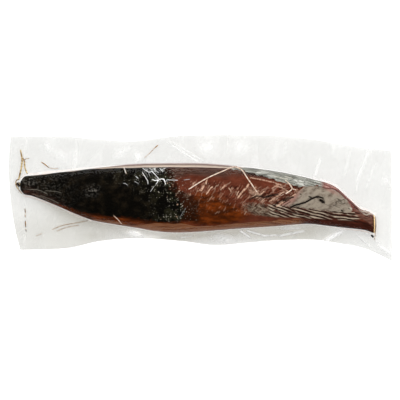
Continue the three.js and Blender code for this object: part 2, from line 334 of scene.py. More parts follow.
@dataclass(frozen=True)
class LoinMarks:
    """Where each look of the loin lies, seen from above.

    Every method takes x and y, the places along and across the pack, and gives an array for them. It is a
    share from 0 to 1 where the method marks a look.
    """

    skin_end: Profile = Profile(
        (-22, -19), (-19, -16.6), (-14.5, -15), (-10.9, -14.6), (-6.4, -15.4), (-2.8, -17), (0.8, -20),
        (5.3, -24), (11.6, -26), (18, -28), (29, -32),
    )
    skin_trim: Profile = Profile(
        (-150, 1), (-124, -6.4), (-112, -10), (-99, -13.6), (-81, -15.4), (-63, -17.2), (-45, -19.4),
        (-31, -20.8), (-14, -21.7),
    )
    side_top: Profile = Profile(
        (-120, -14), (-100, -18.4), (-81, -20.2), (-67, -23), (-55, -24.4), (-47, -23), (-20, -22.9),
        (-8, -24), (2, -25.4), (14, -24.4), (36, -22.1), (58, -20.8), (72, -19.4), (95, -18.5),
    )
    silver_foot: Profile = Profile(
        (18, 29), (30, 25.5), (46, 22), (62, 17.5), (72, 14.5), (84, 11.4), (93, 10), (104, 10.2),
        (121, 9.6), (128, 8),
    )
    fleck_top: Profile = Profile(
        (-16, 13), (4, 15.4), (16, 15), (28, 11.8), (44, 11.4), (54, 9), (64, 8.6), (74, 14), (84, 18),
    )
    membrane_head: Profile = Profile((-15, 134), (-9, 136), (-4, 133.5), (2, 128), (7, 122), (11, 117))
    rim_foot: Profile = Profile(
        (-28, 158), (-22, 150), (-17, 142), (-12, 137), (-8, 135), (-4, 132.5), (2, 127), (7, 121),
        (11, 116),
    )
    membrane_tail: Profile = Profile((-12, 66), (-8, 70), (-2, 79), (4, 86), (8, 90.5), (11, 94))

    def skin(self, x: Array, y: Array) -> Array:
        """Marks the black skin of the tail half, with its torn end.

        Args:
            x: places along the pack.
            y: places across it.

        Returns:
            The share at each place.
        """
        torn = 1.6 * ripple(x, y, 9, 3) + 1.0 * ripple(x, y, 3.6, 4)
        trimmed = 0.6 * ripple(x, y, 14, 5) + 0.5 * ripple(x, y, 4, 6)
        end = step(-8, 8, self.skin_end(y) + torn - x)
        return end * step(-2.0, 1.6, y + trimmed - self.skin_trim(x))

    def fat(self, x: Array, y: Array) -> Array:
        """Gives the way in from the far edge over the pale fat there: above 0 on it, 1 at the edge."""
        depth = np.maximum(0.4 + 2.7 * band(-82, 30, 26, x) + 0.3 * ripple(x, y, 24, 19), 0.15)
        return np.clip((y - FORM.upper_edge(x) + depth) / depth, 0, 1) * band(-150, 36, 6, x)

    def silver(self, x: Array, y: Array) -> Array:
        """Marks the grey, silvery skin along the far edge of the head half."""
        return step(-1.2, 1.2, y + 0.9 * ripple(x, y, 8, 8) - self.silver_foot(x)) * band(14, 110, 7, x)

    def membrane(self, x: Array, y: Array) -> Array:
        """Marks the smooth belly membrane, a blunt triangle with its tip towards the tail.

        Args:
            x: places along the pack.
            y: places across it.

        Returns:
            The share at each place.
        """
        foot = -8.6 - 0.11 * (x - 88) - 0.5 * ripple(x, y, 5, 12)
        end = 1 - step(-3.4, 3.4, x - self.membrane_head(y))
        return step(-1.6, 1.6, x - self.membrane_tail(y)) * end * band(foot, 10.2, 1.1, y)

    def side(self, x: Array, y: Array) -> Array:
        """Marks the steep pinkish side along the near edge."""
        return step(-0.9, 0.9, self.side_top(x) + 0.4 * ripple(x, y, 12, 14) - y) * band(-96, 104, 12, x)

    def orange(self, x: Array, y: Array) -> Array:
        """Marks the smooth orange flesh: a patch beside the skin, and a strip under its trimmed edge.

        Args:
            x: places along the pack.
            y: places across it.

        Returns:
            The share at each place.
        """
        patch = 1.4 * spot(x, y, (14, -16), (28, 8.6), 3) + 0.75 * spot(x, y, (5, -2), (21, 10))
        strip = step(-1.6, 0.6, self.skin_trim(x) - y)
        return np.clip(np.maximum(patch, strip * band(-124, -12, 9, x)), 0, 1)

    def mauve(self, x: Array, y: Array) -> Array:
        """Marks the mauve-grey haze on the far side beside the skin, which is painted sheen on the flesh,
        and the dark band under the silver skin.

        Args:
            x: places along the pack.
            y: places across it.

        Returns:
            The share at each place.
        """
        under_silver = 0.7 * spot(x, y, (48, 20.5), (24, 3), -12)
        beside_skin = 1.15 * spot(x, y, (4, 24), (25, 5), -7) + spot(x, y, (-24, 23), (11, 7))
        return np.clip(beside_skin + under_silver, 0, 1)

    def scorch(self, x: Array, y: Array) -> Array:
        """Marks the dark flesh past the skin's torn end.

        Args:
            x: places along the pack.
            y: places across it.

        Returns:
            The share at each place.
        """
        past = x - self.skin_end(y) + 1.5 * ripple(x, y, 8, 17)
        reach = 26 - 18 * step(0, 9, y)
        burnt = step(-12, -4, past) * (1 - step(0.2 * reach, reach, past)) * band(-21, 27, 3, y)
        under = 0.8 * np.exp(-(((self.skin_trim(x) - y) / 2.4) ** 2)) * band(-118, -16, 6, x)
        return np.maximum(burnt, under)

    def scraps(self, x: Array, y: Array) -> Array:
        """Marks the scraps of torn skin on the far edge of the neck."""
        return np.clip(1.4 * spot(x, y, (149, -12.6), (5.6, 1.9), -24), 0, 1)

    def speckle(self, x: Array, y: Array) -> Array:
        """Marks where pale specks lie, along and behind the skin's torn end; many of them are painted
        highlights.

        Args:
            x: places along the pack.
            y: places across it.

        Returns:
            The share at each place.
        """
        torn = np.exp(-(((x - self.skin_end(y) + 5) / 17) ** 2))
        torn = torn * (1 - 0.6 * step(-14, -6, x) * band(-18, 4, 3, y))
        worn = 0.5 * spot(x, y, (-52, 20), (26, 7))
        return np.clip((torn + worn) * band(-21, 29, 2, y) + self.scraps(x, y), 0, 1)

    def green(self, x: Array, y: Array) -> Array:
        """Marks the grey-green patch of flesh."""
        return np.clip(1.3 * spot(x, y, (55, -11), (15, 5), -12), 0, 1)

    def flecks(self, x: Array, y: Array) -> Array:
        """Marks the flaky flesh with its slanting fibre ends."""
        flesh = band(-8, 92, 9, x) * band(-15, self.fleck_top(x), 2.5, y)
        return flesh * (1 - self.skin(x, y)) * (1 - self.membrane(x, y)) * (1 - 0.75 * self.orange(x, y))

    def hollow(self, x: Array, y: Array) -> Array:
        """Marks the fibrous hollows, which are sunk into the relief and painted with shade."""
        return np.clip(spot(x, y, (56, 1), (12, 3.4), -10) + 0.8 * spot(x, y, (78, -1), (7, 2.4), 30), 0, 1)

    def flake_across(self, x: Array, y: Array) -> Array:
        """Gives a coordinate across the slanting flakes, steep near the skin and flatter by the belly."""
        past = np.clip(x - 38, 0, 42)
        return y - 1.4 * x + 0.016 * past**2

    def rib_across(self, x: Array, y: Array) -> Array:
        """Gives a coordinate across the ridges that the ribs left, which fall towards the head."""
        return y + 0.42 * (x - 60) - 0.0021 * (x - 60) ** 2 + 0.4 * ripple(x, y, 24, 16)

    def ribs(self, x: Array, y: Array) -> Array:
        """Marks the ribbed zone below the membrane."""
        zone = band(60, 142, 8, x) * band(-16.5 - 0.05 * (x - 60), -7.4 - 0.085 * (x - 88), 1.8, y)
        return zone * (1 - 0.8 * self.membrane(x, y))

    def blush(self, x: Array, y: Array) -> Array:
        """Marks the pinkish parts of the membrane."""
        tail = 1.1 * spot(x, y, (80, -0.5), (12, 4.5), 42)
        return np.clip(tail + 0.7 * spot(x, y, (116, 7.2), (13, 2.6), -28), 0, 1)

    def neck(self, x: Array, y: Array) -> Array:
        """Marks the dark neck behind the head cut."""
        return step(126, 142, x - 0.4 * (y + 16))

    def rim(self, x: Array, y: Array) -> Array:
        """Marks the reddish rim of the head end.

        Args:
            x: places along the pack.
            y: places across it.

        Returns:
            The share at each place.
        """
        inner = step(-2.5, 2.5, x - self.rim_foot(y) + 0.8 * ripple(x, y, 6, 18))
        far = step(-2.0, 0.5, y - self.silver_foot(x) + 1.4) * band(100, 126, 6, x)
        return np.clip(inner + 0.8 * far, 0, 1) * step(102, 116, x)

    def dark(self, x: Array, y: Array) -> Array:
        """Marks the dark red-brown flesh along the near edge of the head half."""
        return step(-2, 2, -17.5 - 0.06 * (x - 90) - y) * step(78, 104, x)

    def smudge(self, x: Array, y: Array) -> Array:
        """Marks the paler places of the black skin: a smudge, and the wrinkled stump."""
        stump = 0.4 * spot(x, y, (-154.5, 12), (6, 7)) + 0.3 * (1 - step(-156, -96, x))
        return np.clip(0.9 * spot(x, y, (-96.5, 6.5), (5.5, 4), 18) + stump, 0, 1)

    def wrinkles(self, x: Array, y: Array) -> Array:
        """Marks the red-brown, finely wrinkled skin along the stump's near edge."""
        return np.clip(1.1 * line(x, y, ((-155, 4), (-140, -2.5), (-126, -9)), 4.4), 0, 1)

    def relief(self, x: Array, y: Array) -> Array:
        """Gives the height that skin, flakes, ribs, membrane and cracks add to the loin's top.

        Args:
            x: places along the pack.
            y: places across it.

        Returns:
            The height at each place.
        """
        skin = self.skin(x, y)
        flake_pitch = 6.2
        across = self.flake_across(x, y) + 1.1 * ripple(x, y, 11, 20)
        flake = 0.5 + 0.5 * np.cos(2 * np.pi * across / flake_pitch)
        ridge = (0.5 + 0.5 * np.cos(2 * np.pi * self.rib_across(x, y) / RIB_PITCH)) ** 0.8
        wrinkle = 0.12 * ripple(x * 0.35, y * 1.6, 4, 22) * skin
        stump = 0.35 * ripple(x * 0.2, y * 1.4, 3, 23) * (1 - step(-150, -118, x))
        return (
            0.6 * skin
            + 0.6 * self.flecks(x, y) * flake * (0.6 + 0.4 * ripple(x, y, 7, 21))
            + self.ribs(x, y) * (0.8 * ridge - 0.15)
            + 0.6 * self.membrane(x, y)
            - 0.7 * line(x, y, CRACK, 0.9)
            - 0.9 * self.hollow(x, y)
            + 0.25 * ripple(x, y, 26, 24)
            + wrinkle
            + stump
        )


FORM = LoinForm()
MARKS = LoinMarks()


# ---------------------------------------------------------------- strokes and shaders


@dataclass(frozen=True)
class Stroke:
    """A thin line drawn by a shader: its route, half its width and its strength."""

    route: Route
    half: float
    strength: float = 1.0


def stroke_rows(*rows: tuple[float, ...]) -> tuple[Stroke, ...]:
    """Makes strokes from rows of a half width, a strength, and the x and y of each place on the route."""
    return tuple(Stroke(tuple(zip(row[2::2], row[3::2])), row[0], row[1]) for row in rows)


def srgb(red: float, green: float, blue: float) -> tuple[float, float, float, float]:
    """Turns a colour as the eye sees it into the shader's linear numbers.

    Args:
        red: its red, from 0 to 255.
        green: its green.
        blue: its blue.

    Returns:
        The linear colour, with its alpha.
    """

    def linear(value: float) -> float:
        """Turns one channel."""
        value /= 255
        return value / 12.92 if value <= 0.04045 else ((value + 0.055) / 1.055) ** 2.4

    return linear(red), linear(green), linear(blue), 1.0


class Graph:
    """A material's nodes, joined by short calls. A value is a number, a colour or another node's socket."""

    def __init__(self, name: str) -> None:
        """Starts an empty material with its output.

        Args:
            name: the material's name.
        """
        self.material = bpy.data.materials.new(name)
        self.material.use_nodes = True
        self.tree = self.material.node_tree
        self.tree.nodes.clear()
        self.output = self.tree.nodes.new("ShaderNodeOutputMaterial")

    def node(self, kind: str, settings: dict | None = None, **inputs: object) -> bpy.types.Node:
        """Adds a node.

        Args:
            kind: the node's type, without its ShaderNode prefix.
            settings: the node's own properties.
            inputs: values or sockets by input name, with _ for a space.

        Returns:
            The node.
        """
        node = self.tree.nodes.new("ShaderNode" + kind)
        for name, value in (settings or {}).items():
            setattr(node, name, value)
        for name, value in inputs.items():
            self.feed(node.inputs[name.replace("_", " ")], value)
        return node

    def feed(self, socket: Socket, value: object) -> None:
        """Joins a socket, or sets its number or colour.

        Args:
            socket: the socket.
            value: the value that it takes.
        """
        if isinstance(value, Socket):
            self.tree.links.new(value, socket)
        else:
            socket.default_value = value

    def places(self, scale: Triple = (1, 1, 1), turn: float = 0) -> Socket:
        """Gives places on the pack in millimetres, turned and then stretched.

        Args:
            scale: stretch along each axis.
            turn: turn about Z, in degrees.

        Returns:
            The places.
        """
        spots = self.node("TexCoord").outputs["Object"]
        turned = self.node("Mapping", Vector=spots, Rotation=(0, 0, math.radians(turn)))
        scaled = self.node("Mapping", Vector=turned.outputs[0], Scale=tuple(s / MM for s in scale))
        return scaled.outputs[0]

    def share(self, name: str) -> Socket:
        """Gives a share that is stored on the mesh."""
        return self.node("Attribute", {"attribute_name": name}).outputs["Fac"]

    def noise(self, places: object, size: float, detail: float = 4, rough: float = 0.6) -> Socket:
        """Gives fractal noise of about 0 to 1, with spots of a size in millimetres."""
        node = self.node("TexNoise", Vector=places, Scale=1 / size, Detail=detail, Roughness=rough)
        return node.outputs["Fac"]

    def math(self, what: str, *values: object) -> Socket:
        """Works out a sum.

        Args:
            what: the sum's name.
            values: what it is worked out on.

        Returns:
            Its result.
        """
        node = self.node("Math", {"operation": what})
        for socket, value in zip(node.inputs, values):
            self.feed(socket, value)
        return node.outputs[0]

    def times(self, first: object, second: object) -> Socket:
        """Multiplies two values."""
        return self.math("MULTIPLY", first, second)

    def plus(self, first: object, second: object) -> Socket:
        """Adds two values."""
        return self.math("ADD", first, second)

    def scaled(self, value: object, factor: object, offset: object) -> Socket:
        """Multiplies a value and adds an offset."""
        return self.math("MULTIPLY_ADD", value, factor, offset)

    def rise(self, value: object, low: float, high: float) -> Socket:
        """Gives 0 below low, 1 above high, and a smooth rise between them.

        Args:
            value: what is read.
            low: the lower end of the rise.
            high: its upper end.

        Returns:
            The share.
        """
        settings = {"interpolation_type": "SMOOTHSTEP"}
        node = self.node("MapRange", settings, Value=value, From_Min=low, From_Max=high)
        return node.outputs[0]

    def ragged(self, share: object, noise: object, amount: float, soft: float = 0.12) -> Socket:
        """Breaks a share's soft edge up by noise."""
        shaken = self.plus(share, self.times(self.math("SUBTRACT", noise, 0.5), amount))
        return self.rise(shaken, 0.5 - soft, 0.5 + soft)

    def mix(self, share: object, first: object, second: object) -> Socket:
        """Mixes two colours.

        Args:
            share: the second colour's share.
            first: the first colour.
            second: the second colour.

        Returns:
            The mixed colour.
        """
        node = self.node("Mix", {"data_type": "RGBA"})
        for index, value in ((0, share), (6, first), (7, second)):
            self.feed(node.inputs[index], value)
        return node.outputs[2]

    def over(self, share: object, below: object, colour: object, amount: float = 1) -> Socket:
        """Lays a colour over another one where a share says so, by an amount at most."""
        return self.mix(self.times(share, amount), below, colour)

    def grain(self, low: object, high: object, noise: object, span: Pair = (0.35, 0.7)) -> Socket:
        """Mixes two colours by a noise, over a span of its values."""
        return self.mix(self.rise(noise, *span), low, high)

    def laid(self, along: str, across: str, length: float, width: float, detail: float = 3) -> Socket:
        """Gives noise of strands that follow two coordinates stored on the mesh.

        Args:
            along: name of the coordinate along the strands.
            across: name of the coordinate across them.
            length: length of a strand, in millimetres.
            width: width of a strand.
            detail: octaves of the noise.

        Returns:
            The noise, of about 0 to 1.
        """
        drift = self.times(self.noise(self.places(), 6, 2), 2.4)
        u = self.math("DIVIDE", self.share(along), length)
        v = self.math("DIVIDE", self.plus(self.share(across), drift), width)
        return self.noise(self.node("CombineXYZ", X=u, Y=v).outputs[0], 1, detail, 0.5)

    def strokes(self, name: str, waver: object, amount: float = 2.0) -> Socket:
        """Draws a set of strokes that draw_strokes stored on the mesh, sharper than the mesh holds them.

        Args:
            name: the set's name.
            waver: noise that moves the strokes aside.
            amount: how far it moves them, in their half widths.

        Returns:
            The drawing's share, from 0 off the strokes to each one's strength on it.
        """
        shift = self.scaled(waver, amount, -0.5 * amount)
        gap = self.math("ABSOLUTE", self.plus(self.share(name + "_offset"), shift))
        return self.times(self.rise(gap, 1.7, 0.5), self.share(name + "_strength"))

    def specks(self, places: object, pitch: float, reach: float, kept: float) -> Socket:
        """Draws specks of uneven size and strength.

        Args:
            places: places on the pack in millimetres.
            pitch: usual distance between two specks, were none left out.
            reach: half the width of the widest ones.
            kept: share of them that are drawn.

        Returns:
            The specks' share, from 0 off them to 1.
        """
        cells = self.node("TexVoronoi", Vector=places, Scale=1 / pitch)
        draw = self.node("SeparateColor", Color=cells.outputs["Color"])
        wide = self.scaled(draw.outputs["Green"], -0.7 * reach / pitch, reach / pitch)
        dot = self.rise(self.math("SUBTRACT", wide, cells.outputs["Distance"]), -0.04, 0.06)
        strong = self.scaled(draw.outputs["Blue"], 0.7, 0.3)
        lit = self.times(dot, strong)
        return self.times(lit, self.rise(draw.outputs["Red"], 1 - kept, 1.02 - kept))

    def bump(self, height: object, depth: float) -> Socket:
        """Turns a height of 0 to 1 into a bumped normal, with a depth in millimetres."""
        return self.node("Bump", Strength=1.0, Distance=depth * MM, Height=height).outputs[0]

    def finish(self, shader: Socket) -> bpy.types.Material:
        """Joins the shader to the output and gives the material."""
        self.feed(self.output.inputs["Surface"], shader)
        return self.material


# ---------------------------------------------------------------- finishes


CRACKS = (Stroke(CRACK, 0.72),) + stroke_rows(
    (0.9, 1, 106.5, -2.2, 110.4, -3.2), (0.7, 1, 108.6, -4, 110.6, -4.2), (0.5, 1, 97, 1, 98.6, 0.5),
    (0.5, 1, 89, 3.4, 89.8, 3.2), (0.5, 1, 132.8, -9.4, 134, -9.8), (0.4, 1, 86, -8.6, 88, -9),
    (0.8, 0.9, 74, -2.6, 79, -0.6, 82.8, 0.8), (0.6, 0.8, 77.6, 16.6, 84, 12.4, 90, 9.4),
    (0.5, 0.7, 83, 11.6, 88, 8), (0.6, 0.6, 141, -20.4, 150, -24, 155, -25.4),
    (0.5, 0.6, 130, -18.6, 140, -21.4), (0.3, 0.7, 121, -4, 124, -2.4, 126.4, -4),
    (0.3, 0.6, 119, -7, 122, -5.4), (0.4, 0.8, 66, -6.5, 72, -2.4), (0.4, 0.7, 73, -8, 80, -3.6),
    (0.8, 0.8, 44, -1.4, 50, 1.8, 57, 0.6, 63, 2, 69, 3.2), (0.5, 0.6, 84, 19, 88, 13.5, 93, 10.6),
    (0.35, 0.7, 122.4, -0.6, 125.6, -2.2, 128.4, -1.4), (0.35, 0.6, 123.8, -4.4, 126.4, -5.6, 129.6, -4.8),
    (0.35, 0.5, 120.6, -7.4, 124, -8.6), (0.6, 1, 126.2, -11.2, 127.2, -11.8),
    (0.3, 0.4, 112, -6, 118, -8.2), (0.8, 0.75, 41.2, 22.6, 52, 20.2, 61, 18.6, 66.4, 16.6),
    (0.5, 0.5, 60, 20.4, 68, 17.8, 74, 14.8),
    (0.55, 0.55, 105, 10.3, 113.2, 9, 120.4, 7.7, 129, 1.7, 134.8, -4.2),
    (0.5, 0.6, 122.1, 9.4, 128.1, 5.1, 134.1, -0.8, 140.9, -6.8), (0.9, 0.9, 152.4, -12.8, 153.6, -13.6),
    (0.5, 0.8, 150, -11.6, 151, -11.8), (0.6, 0.9, 154.2, -16, 155, -16.8),
    (0.4, 0.6, 146, -13.8, 150.6, -15.2),
)
# Pale scraps of torn skin, and painted highlights: the lines along the stump and the dot at the neck stand
# in for glints of the film.
SCRAP_AND_HIGHLIGHT_LINES = stroke_rows(
    (0.2, 0.36, -155, 7.8, -147, 7.5, -141.5, 6, -137.3, 3.7),
    (0.2, 0.32, -138, 6.4, -132.5, 6, -128.3, 5.8, -124.8, 4.7),
    (0.26, 0.3, -143, 2.2, -133, -1.6, -127, -4.6), (0.26, 0.25, -147, 0.8, -138, -3.4, -126, -8.4),
    (0.26, 0.3, -150, 3.6, -142, 0.6, -134, -3.6), (0.5, 1, 145.2, -12.2, 147.6, -12, 149.4, -13),
    (0.4, 0.9, 146.6, -14.4, 148.6, -15.2, 150.6, -14.8), (0.6, 1, 151.4, -13.6, 152.2, -14.4),
    (0.35, 0.6, 142.6, -11, 145, -13), (0.7, 1, 134.2, -9.2, 135.2, -9.8),
    (0.5, 0.8, 66, 19.6, 72, 17.8, 78, 16.6), (0.4, 0.7, 70, 15.2, 75, 13.8),
    (0.4, 0.8, 76, 19.4, 82, 17.4),
)
PALE_LINES = stroke_rows(
    (0.5, 0.8, 5.8, 3.6, 9, 8.4, 10.6, 9.6), (0.7, 0.75, 0.8, 6.6, 3.2, 10.4), (0.6, 0.7, 5, 12.6, 6, 16),
    (0.5, 0.5, -5, 14, -8, 8.6), (0.6, 0.75, 33.6, 0.4, 36.4, 4.4, 40.6, 8.6, 43, 12),
    (0.45, 0.6, 18.6, 7.4, 21.6, 11), (0.4, 0.6, 25.6, 8.4, 27.4, 5.6),
    (0.5, 0.5, 44.8, 17.9, 55.6, 16.1, 64.6, 13.9, 71.8, 11.6), (0.45, 0.5, 66, 10.4, 72, 9.4, 78, 6),
    (0.6, 0.8, -18.4, 6.4, -21, 3.8, -23.8, 0), (0.8, 0.6, -12, 0.4, -8.6, 3),
    (0.6, 0.5, -14.4, 1.8, -12.8, 3.6), (0.5, 0.75, 50, 0.4, 53, 2.4, 56.4, 5.6),
    (0.4, 0.6, 61.6, -3, 74.4, 5.4), (0.5, 0.6, 68.2, -7.4, 84.4, 3.2), (0.4, 0.45, 64, 8.6, 70, 12),
    (0.5, 0.5, 82, 21.8, 90.6, 19.6), (2.0, 0.3, 44, 5.6, 50, 3.8),
)


def fibre_ends() -> tuple[Stroke, ...]:
    """Scatters the short, slanting fibre ends of the flaky flesh, steep by the skin and flat by the belly.

    Returns:
        Their strokes.
    """
    faintest = 0.1
    draw = np.random.default_rng(63)
    strokes = []
    for x in np.arange(-12, 88, 2.7):
        for y in np.arange(-14, 20, 2.6):
            px, py = x + draw.uniform(-1.3, 1.3), y + draw.uniform(-1.3, 1.3)
            slant = math.radians(np.interp(px, (-10, 40, 62, 84), (56, 52, 34, 22)) + draw.normal(0, 9))
            length, half = draw.uniform(0.7, 3.2), draw.uniform(0.24, 0.46)
            thick = 0.4 + 0.6 * step(0.1, 0.6, ripple(np.array(px), np.array(py), 17, 64))
            strength = float(MARKS.flecks(np.array(px), np.array(py)) * thick) * draw.uniform(0, 0.88) ** 2
            if strength > faintest:
                dx, dy = length / 2 * math.cos(slant), length / 2 * math.sin(slant)
                strokes.append(Stroke(((px - dx, py - dy), (px + dx, py + dy)), half, strength))
    return tuple(strokes)


def braid() -> tuple[Stroke, ...]:
    """Lays the short pale strokes of the grey-green patch, in rows that slant one way and the other.

    Returns:
        Their strokes.
    """
    reach, half = 1.7, 0.32
    draw = np.random.default_rng(8)
    strokes = []
    for x in np.arange(38, 76, 3.3):
        for row, slant in ((-6.2, 34), (-8.6, -30), (-11, 28), (-13.4, -24), (-15.4, -14)):
            px, py = x + draw.uniform(-0.8, 0.8), row - 0.12 * (x - 56) + draw.uniform(-0.6, 0.6)
            turn = math.radians(slant + draw.normal(0, 8))
            dx, dy = reach * math.cos(turn), reach * math.sin(turn)
            strength = float(MARKS.green(np.array(px), np.array(py))) * draw.uniform(0.5, 1)
            strokes.append(Stroke(((px - dx, py - dy), (px + dx, py + dy)), half, strength))
    return tuple(strokes)


class FleshGraph(Graph):
    """The loin's material, with the noises that its parts share."""

    def __init__(self) -> None:
        """Starts the material and its noises."""
        super().__init__("smoked_flesh")
        self.plain = self.places()
        self.waver = self.noise(self.plain, 2.6, 2)
        self.fine, self.coarse = self.noise(self.plain, 1.2, 5), self.noise(self.plain, 7, 4)
        self.flakes = self.laid("flake_along", "flake_across", 5.5, 1.25, 2)
        self.ribs = self.laid("along", "rib_across", 9, 1.15)
        self.lines = self.laid("along", "across", 9, 0.9)
        self.colour: Socket | None = None

    def lay(self, share: object, colour: object, amount: float = 1) -> None:
        """Lays a colour over the loin's own where a share says so, by an amount at most."""
        self.colour = self.over(share, self.colour, colour, amount)


@dataclass(frozen=True)
class SmokedFlesh:
    """Wet smoked fish under tight film: black skin, red flesh, grey membrane and what lies between them."""

    skin_dark: tuple = srgb(8, 7, 5)
    skin_light: tuple = srgb(30, 24, 16)
    skin_green: tuple = srgb(33, 33, 21)
    scorch: tuple = srgb(26, 12, 5)
    smudge: tuple = srgb(104, 100, 94)
    flesh_dark: tuple = srgb(66, 30, 20)
    flesh_light: tuple = srgb(112, 58, 41)
    # pale flecks, partly painted highlights where the flakes and fibre ends catch the light
    fleck: tuple = srgb(216, 178, 152)
    fleck_dull: tuple = srgb(158, 138, 124)
    orange_dark: tuple = srgb(54, 22, 6)
    orange_light: tuple = srgb(108, 48, 13)
    # painted sheen: the grey-mauve haze over the far flesh; also the dark band under the silver skin
    mauve: tuple = srgb(78, 58, 50)
    mauve_dark: tuple = srgb(38, 24, 19)
    silver: tuple = srgb(138, 138, 131)
    silver_dark: tuple = srgb(66, 66, 59)
    # painted highlights on the silver skin
    silver_light: tuple = srgb(210, 209, 202)
    membrane: tuple = srgb(138, 128, 115)
    membrane_shade: tuple = srgb(86, 74, 65)
    blush: tuple = srgb(146, 108, 98)
    rim: tuple = srgb(126, 72, 68)
    rim_dark: tuple = srgb(68, 28, 27)
    # painted highlight along the rim's outer edge
    rim_pale: tuple = srgb(176, 138, 128)
    neck: tuple = srgb(106, 74, 62)
    side: tuple = srgb(130, 86, 60)
    side_dark: tuple = srgb(92, 54, 34)
    dark: tuple = srgb(66, 30, 22)
    # painted shade: the dark laid into the grooves between flakes and ribs, into hollows and beside fibre
    # ends; also the darkest flesh tone
    groove: tuple = srgb(30, 14, 9)
    ridge: tuple = srgb(180, 164, 145)
    green: tuple = srgb(40, 28, 20)
    braid: tuple = srgb(152, 137, 119)
    wrinkle: tuple = srgb(70, 44, 36)
    char: tuple = srgb(14, 9, 7)
    fat: tuple = srgb(208, 190, 176)
    fat_line: tuple = srgb(138, 118, 106)
    # pale specks and lines, many of them painted highlights
    speck: tuple = srgb(180, 174, 160)
    cut: tuple = srgb(240, 203, 148)

    def build(self) -> bpy.types.Material:
        """Builds the material.

        Returns:
            The material, which reads the shares stored on the loin.
        """
        g = FleshGraph()
        for layer in (
            self.flesh, self.fibres, self.near_side, self.belly, self.silver_skin,
            self.red_rim, self.cut_face, self.black_skin, self.strewn_specks, self.fatty_edge,
        ):
            layer(g)
        height = g.plus(g.times(g.flakes, g.share("flecks")), g.times(g.fine, 0.4))
        rough = g.node("MapRange", Value=g.fine, To_Min=0.3, To_Max=0.55).outputs[0]
        shader = g.node("BsdfPrincipled", Base_Color=g.colour, Roughness=rough, Normal=g.bump(height, 0.5))
        shader.inputs["Specular IOR Level"].default_value = 0.0
        return g.finish(shader.outputs[0])

    def flesh(self, g: FleshGraph) -> None:
        """Colours the bare flesh with its orange and grey-green parts and its mauve haze of painted sheen.

        Args:
            g: the loin's material.
        """
        mottled = g.scaled(g.lines, 0.6, g.times(g.coarse, 0.4))
        g.colour = g.grain(self.flesh_dark, self.flesh_light, mottled)
        g.lay(g.rise(g.lines, 0.5, 0.62), self.flesh_dark, 0.5)
        g.lay(g.rise(g.fine, 0.5, 0.72), self.flesh_dark, 0.6)
        orange = g.grain(self.orange_dark, self.orange_light, g.noise(g.places((0.35, 1, 1), 4), 5, 4))
        g.lay(g.ragged(g.share("orange"), g.coarse, 0.6, 0.3), orange)
        # painted sheen: the mauve-grey haze over the far flesh
        haze = g.grain(self.mauve_dark, self.mauve, g.laid("along", "across", 7, 1.3), (0.36, 0.62))
        g.lay(g.ragged(g.share("mauve"), g.fine, 0.8, 0.35), haze, 0.9)
        g.lay(g.ragged(g.share("green"), g.fine, 1.4, 0.2), self.green, 0.8)

    def fibres(self, g: FleshGraph) -> None:
        """Paints shade into the grooves between flakes and the hollows, and colours the pale flecks, partly
        painted highlights, and the fibre ends with their painted shadows.

        Args:
            g: the loin's material.
        """
        flecks = g.share("flecks")
        # painted shade in the grooves between flakes and in the hollows
        g.lay(g.times(flecks, g.rise(g.flakes, 0.46, 0.36)), self.groove, 0.8)
        hollow = g.times(g.share("hollow"), g.rise(g.flakes, 0.62, 0.42))
        g.lay(hollow, self.groove, 0.9)
        dense = g.share("dense")
        pale = g.rise(g.plus(g.flakes, g.times(dense, 0.08)), 0.59, 0.66)
        where = g.rise(g.plus(g.coarse, g.times(dense, 0.1)), 0.44, 0.56)
        fleck = g.mix(dense, self.fleck, g.grain(self.fleck, self.fleck_dull, g.fine, (0.4, 0.5)))
        g.lay(g.times(flecks, g.times(pale, where)), fleck, 0.28)
        g.lay(g.times(g.specks(g.places(), 2.0, 0.6, 0.5), flecks), fleck, 0.3)
        # painted shadow: a dark line beside each fibre end
        offset = g.plus(g.share("fibre_offset"), g.scaled(g.fine, 1.4, 1.8))
        shadow = g.times(g.rise(g.math("ABSOLUTE", offset), 2.0, 0.8), g.share("fibre_strength"))
        g.lay(shadow, self.groove, 0.9)
        g.lay(g.strokes("fibre", g.fine, 1.4), fleck)
        g.lay(g.strokes("braid", g.fine, 1.2), self.braid, 0.72)

    def near_side(self, g: FleshGraph) -> None:
        """Colours the pinkish near side and the dark flesh beyond it.

        Args:
            g: the loin's material.
        """
        side = g.grain(self.side, self.side_dark, g.laid("along", "across", 26, 2.2), (0.4, 0.66))
        g.lay(g.ragged(g.share("side"), g.fine, 0.3), side)
        dark = g.grain(self.groove, self.dark, g.lines, (0.36, 0.56))
        g.lay(g.ragged(g.share("dark"), g.coarse, 0.5, 0.3), dark)

    def belly(self, g: FleshGraph) -> None:
        """Colours the ribs, with painted shade in the grooves between them, the membrane and its cracks.

        Args:
            g: the loin's material.
        """
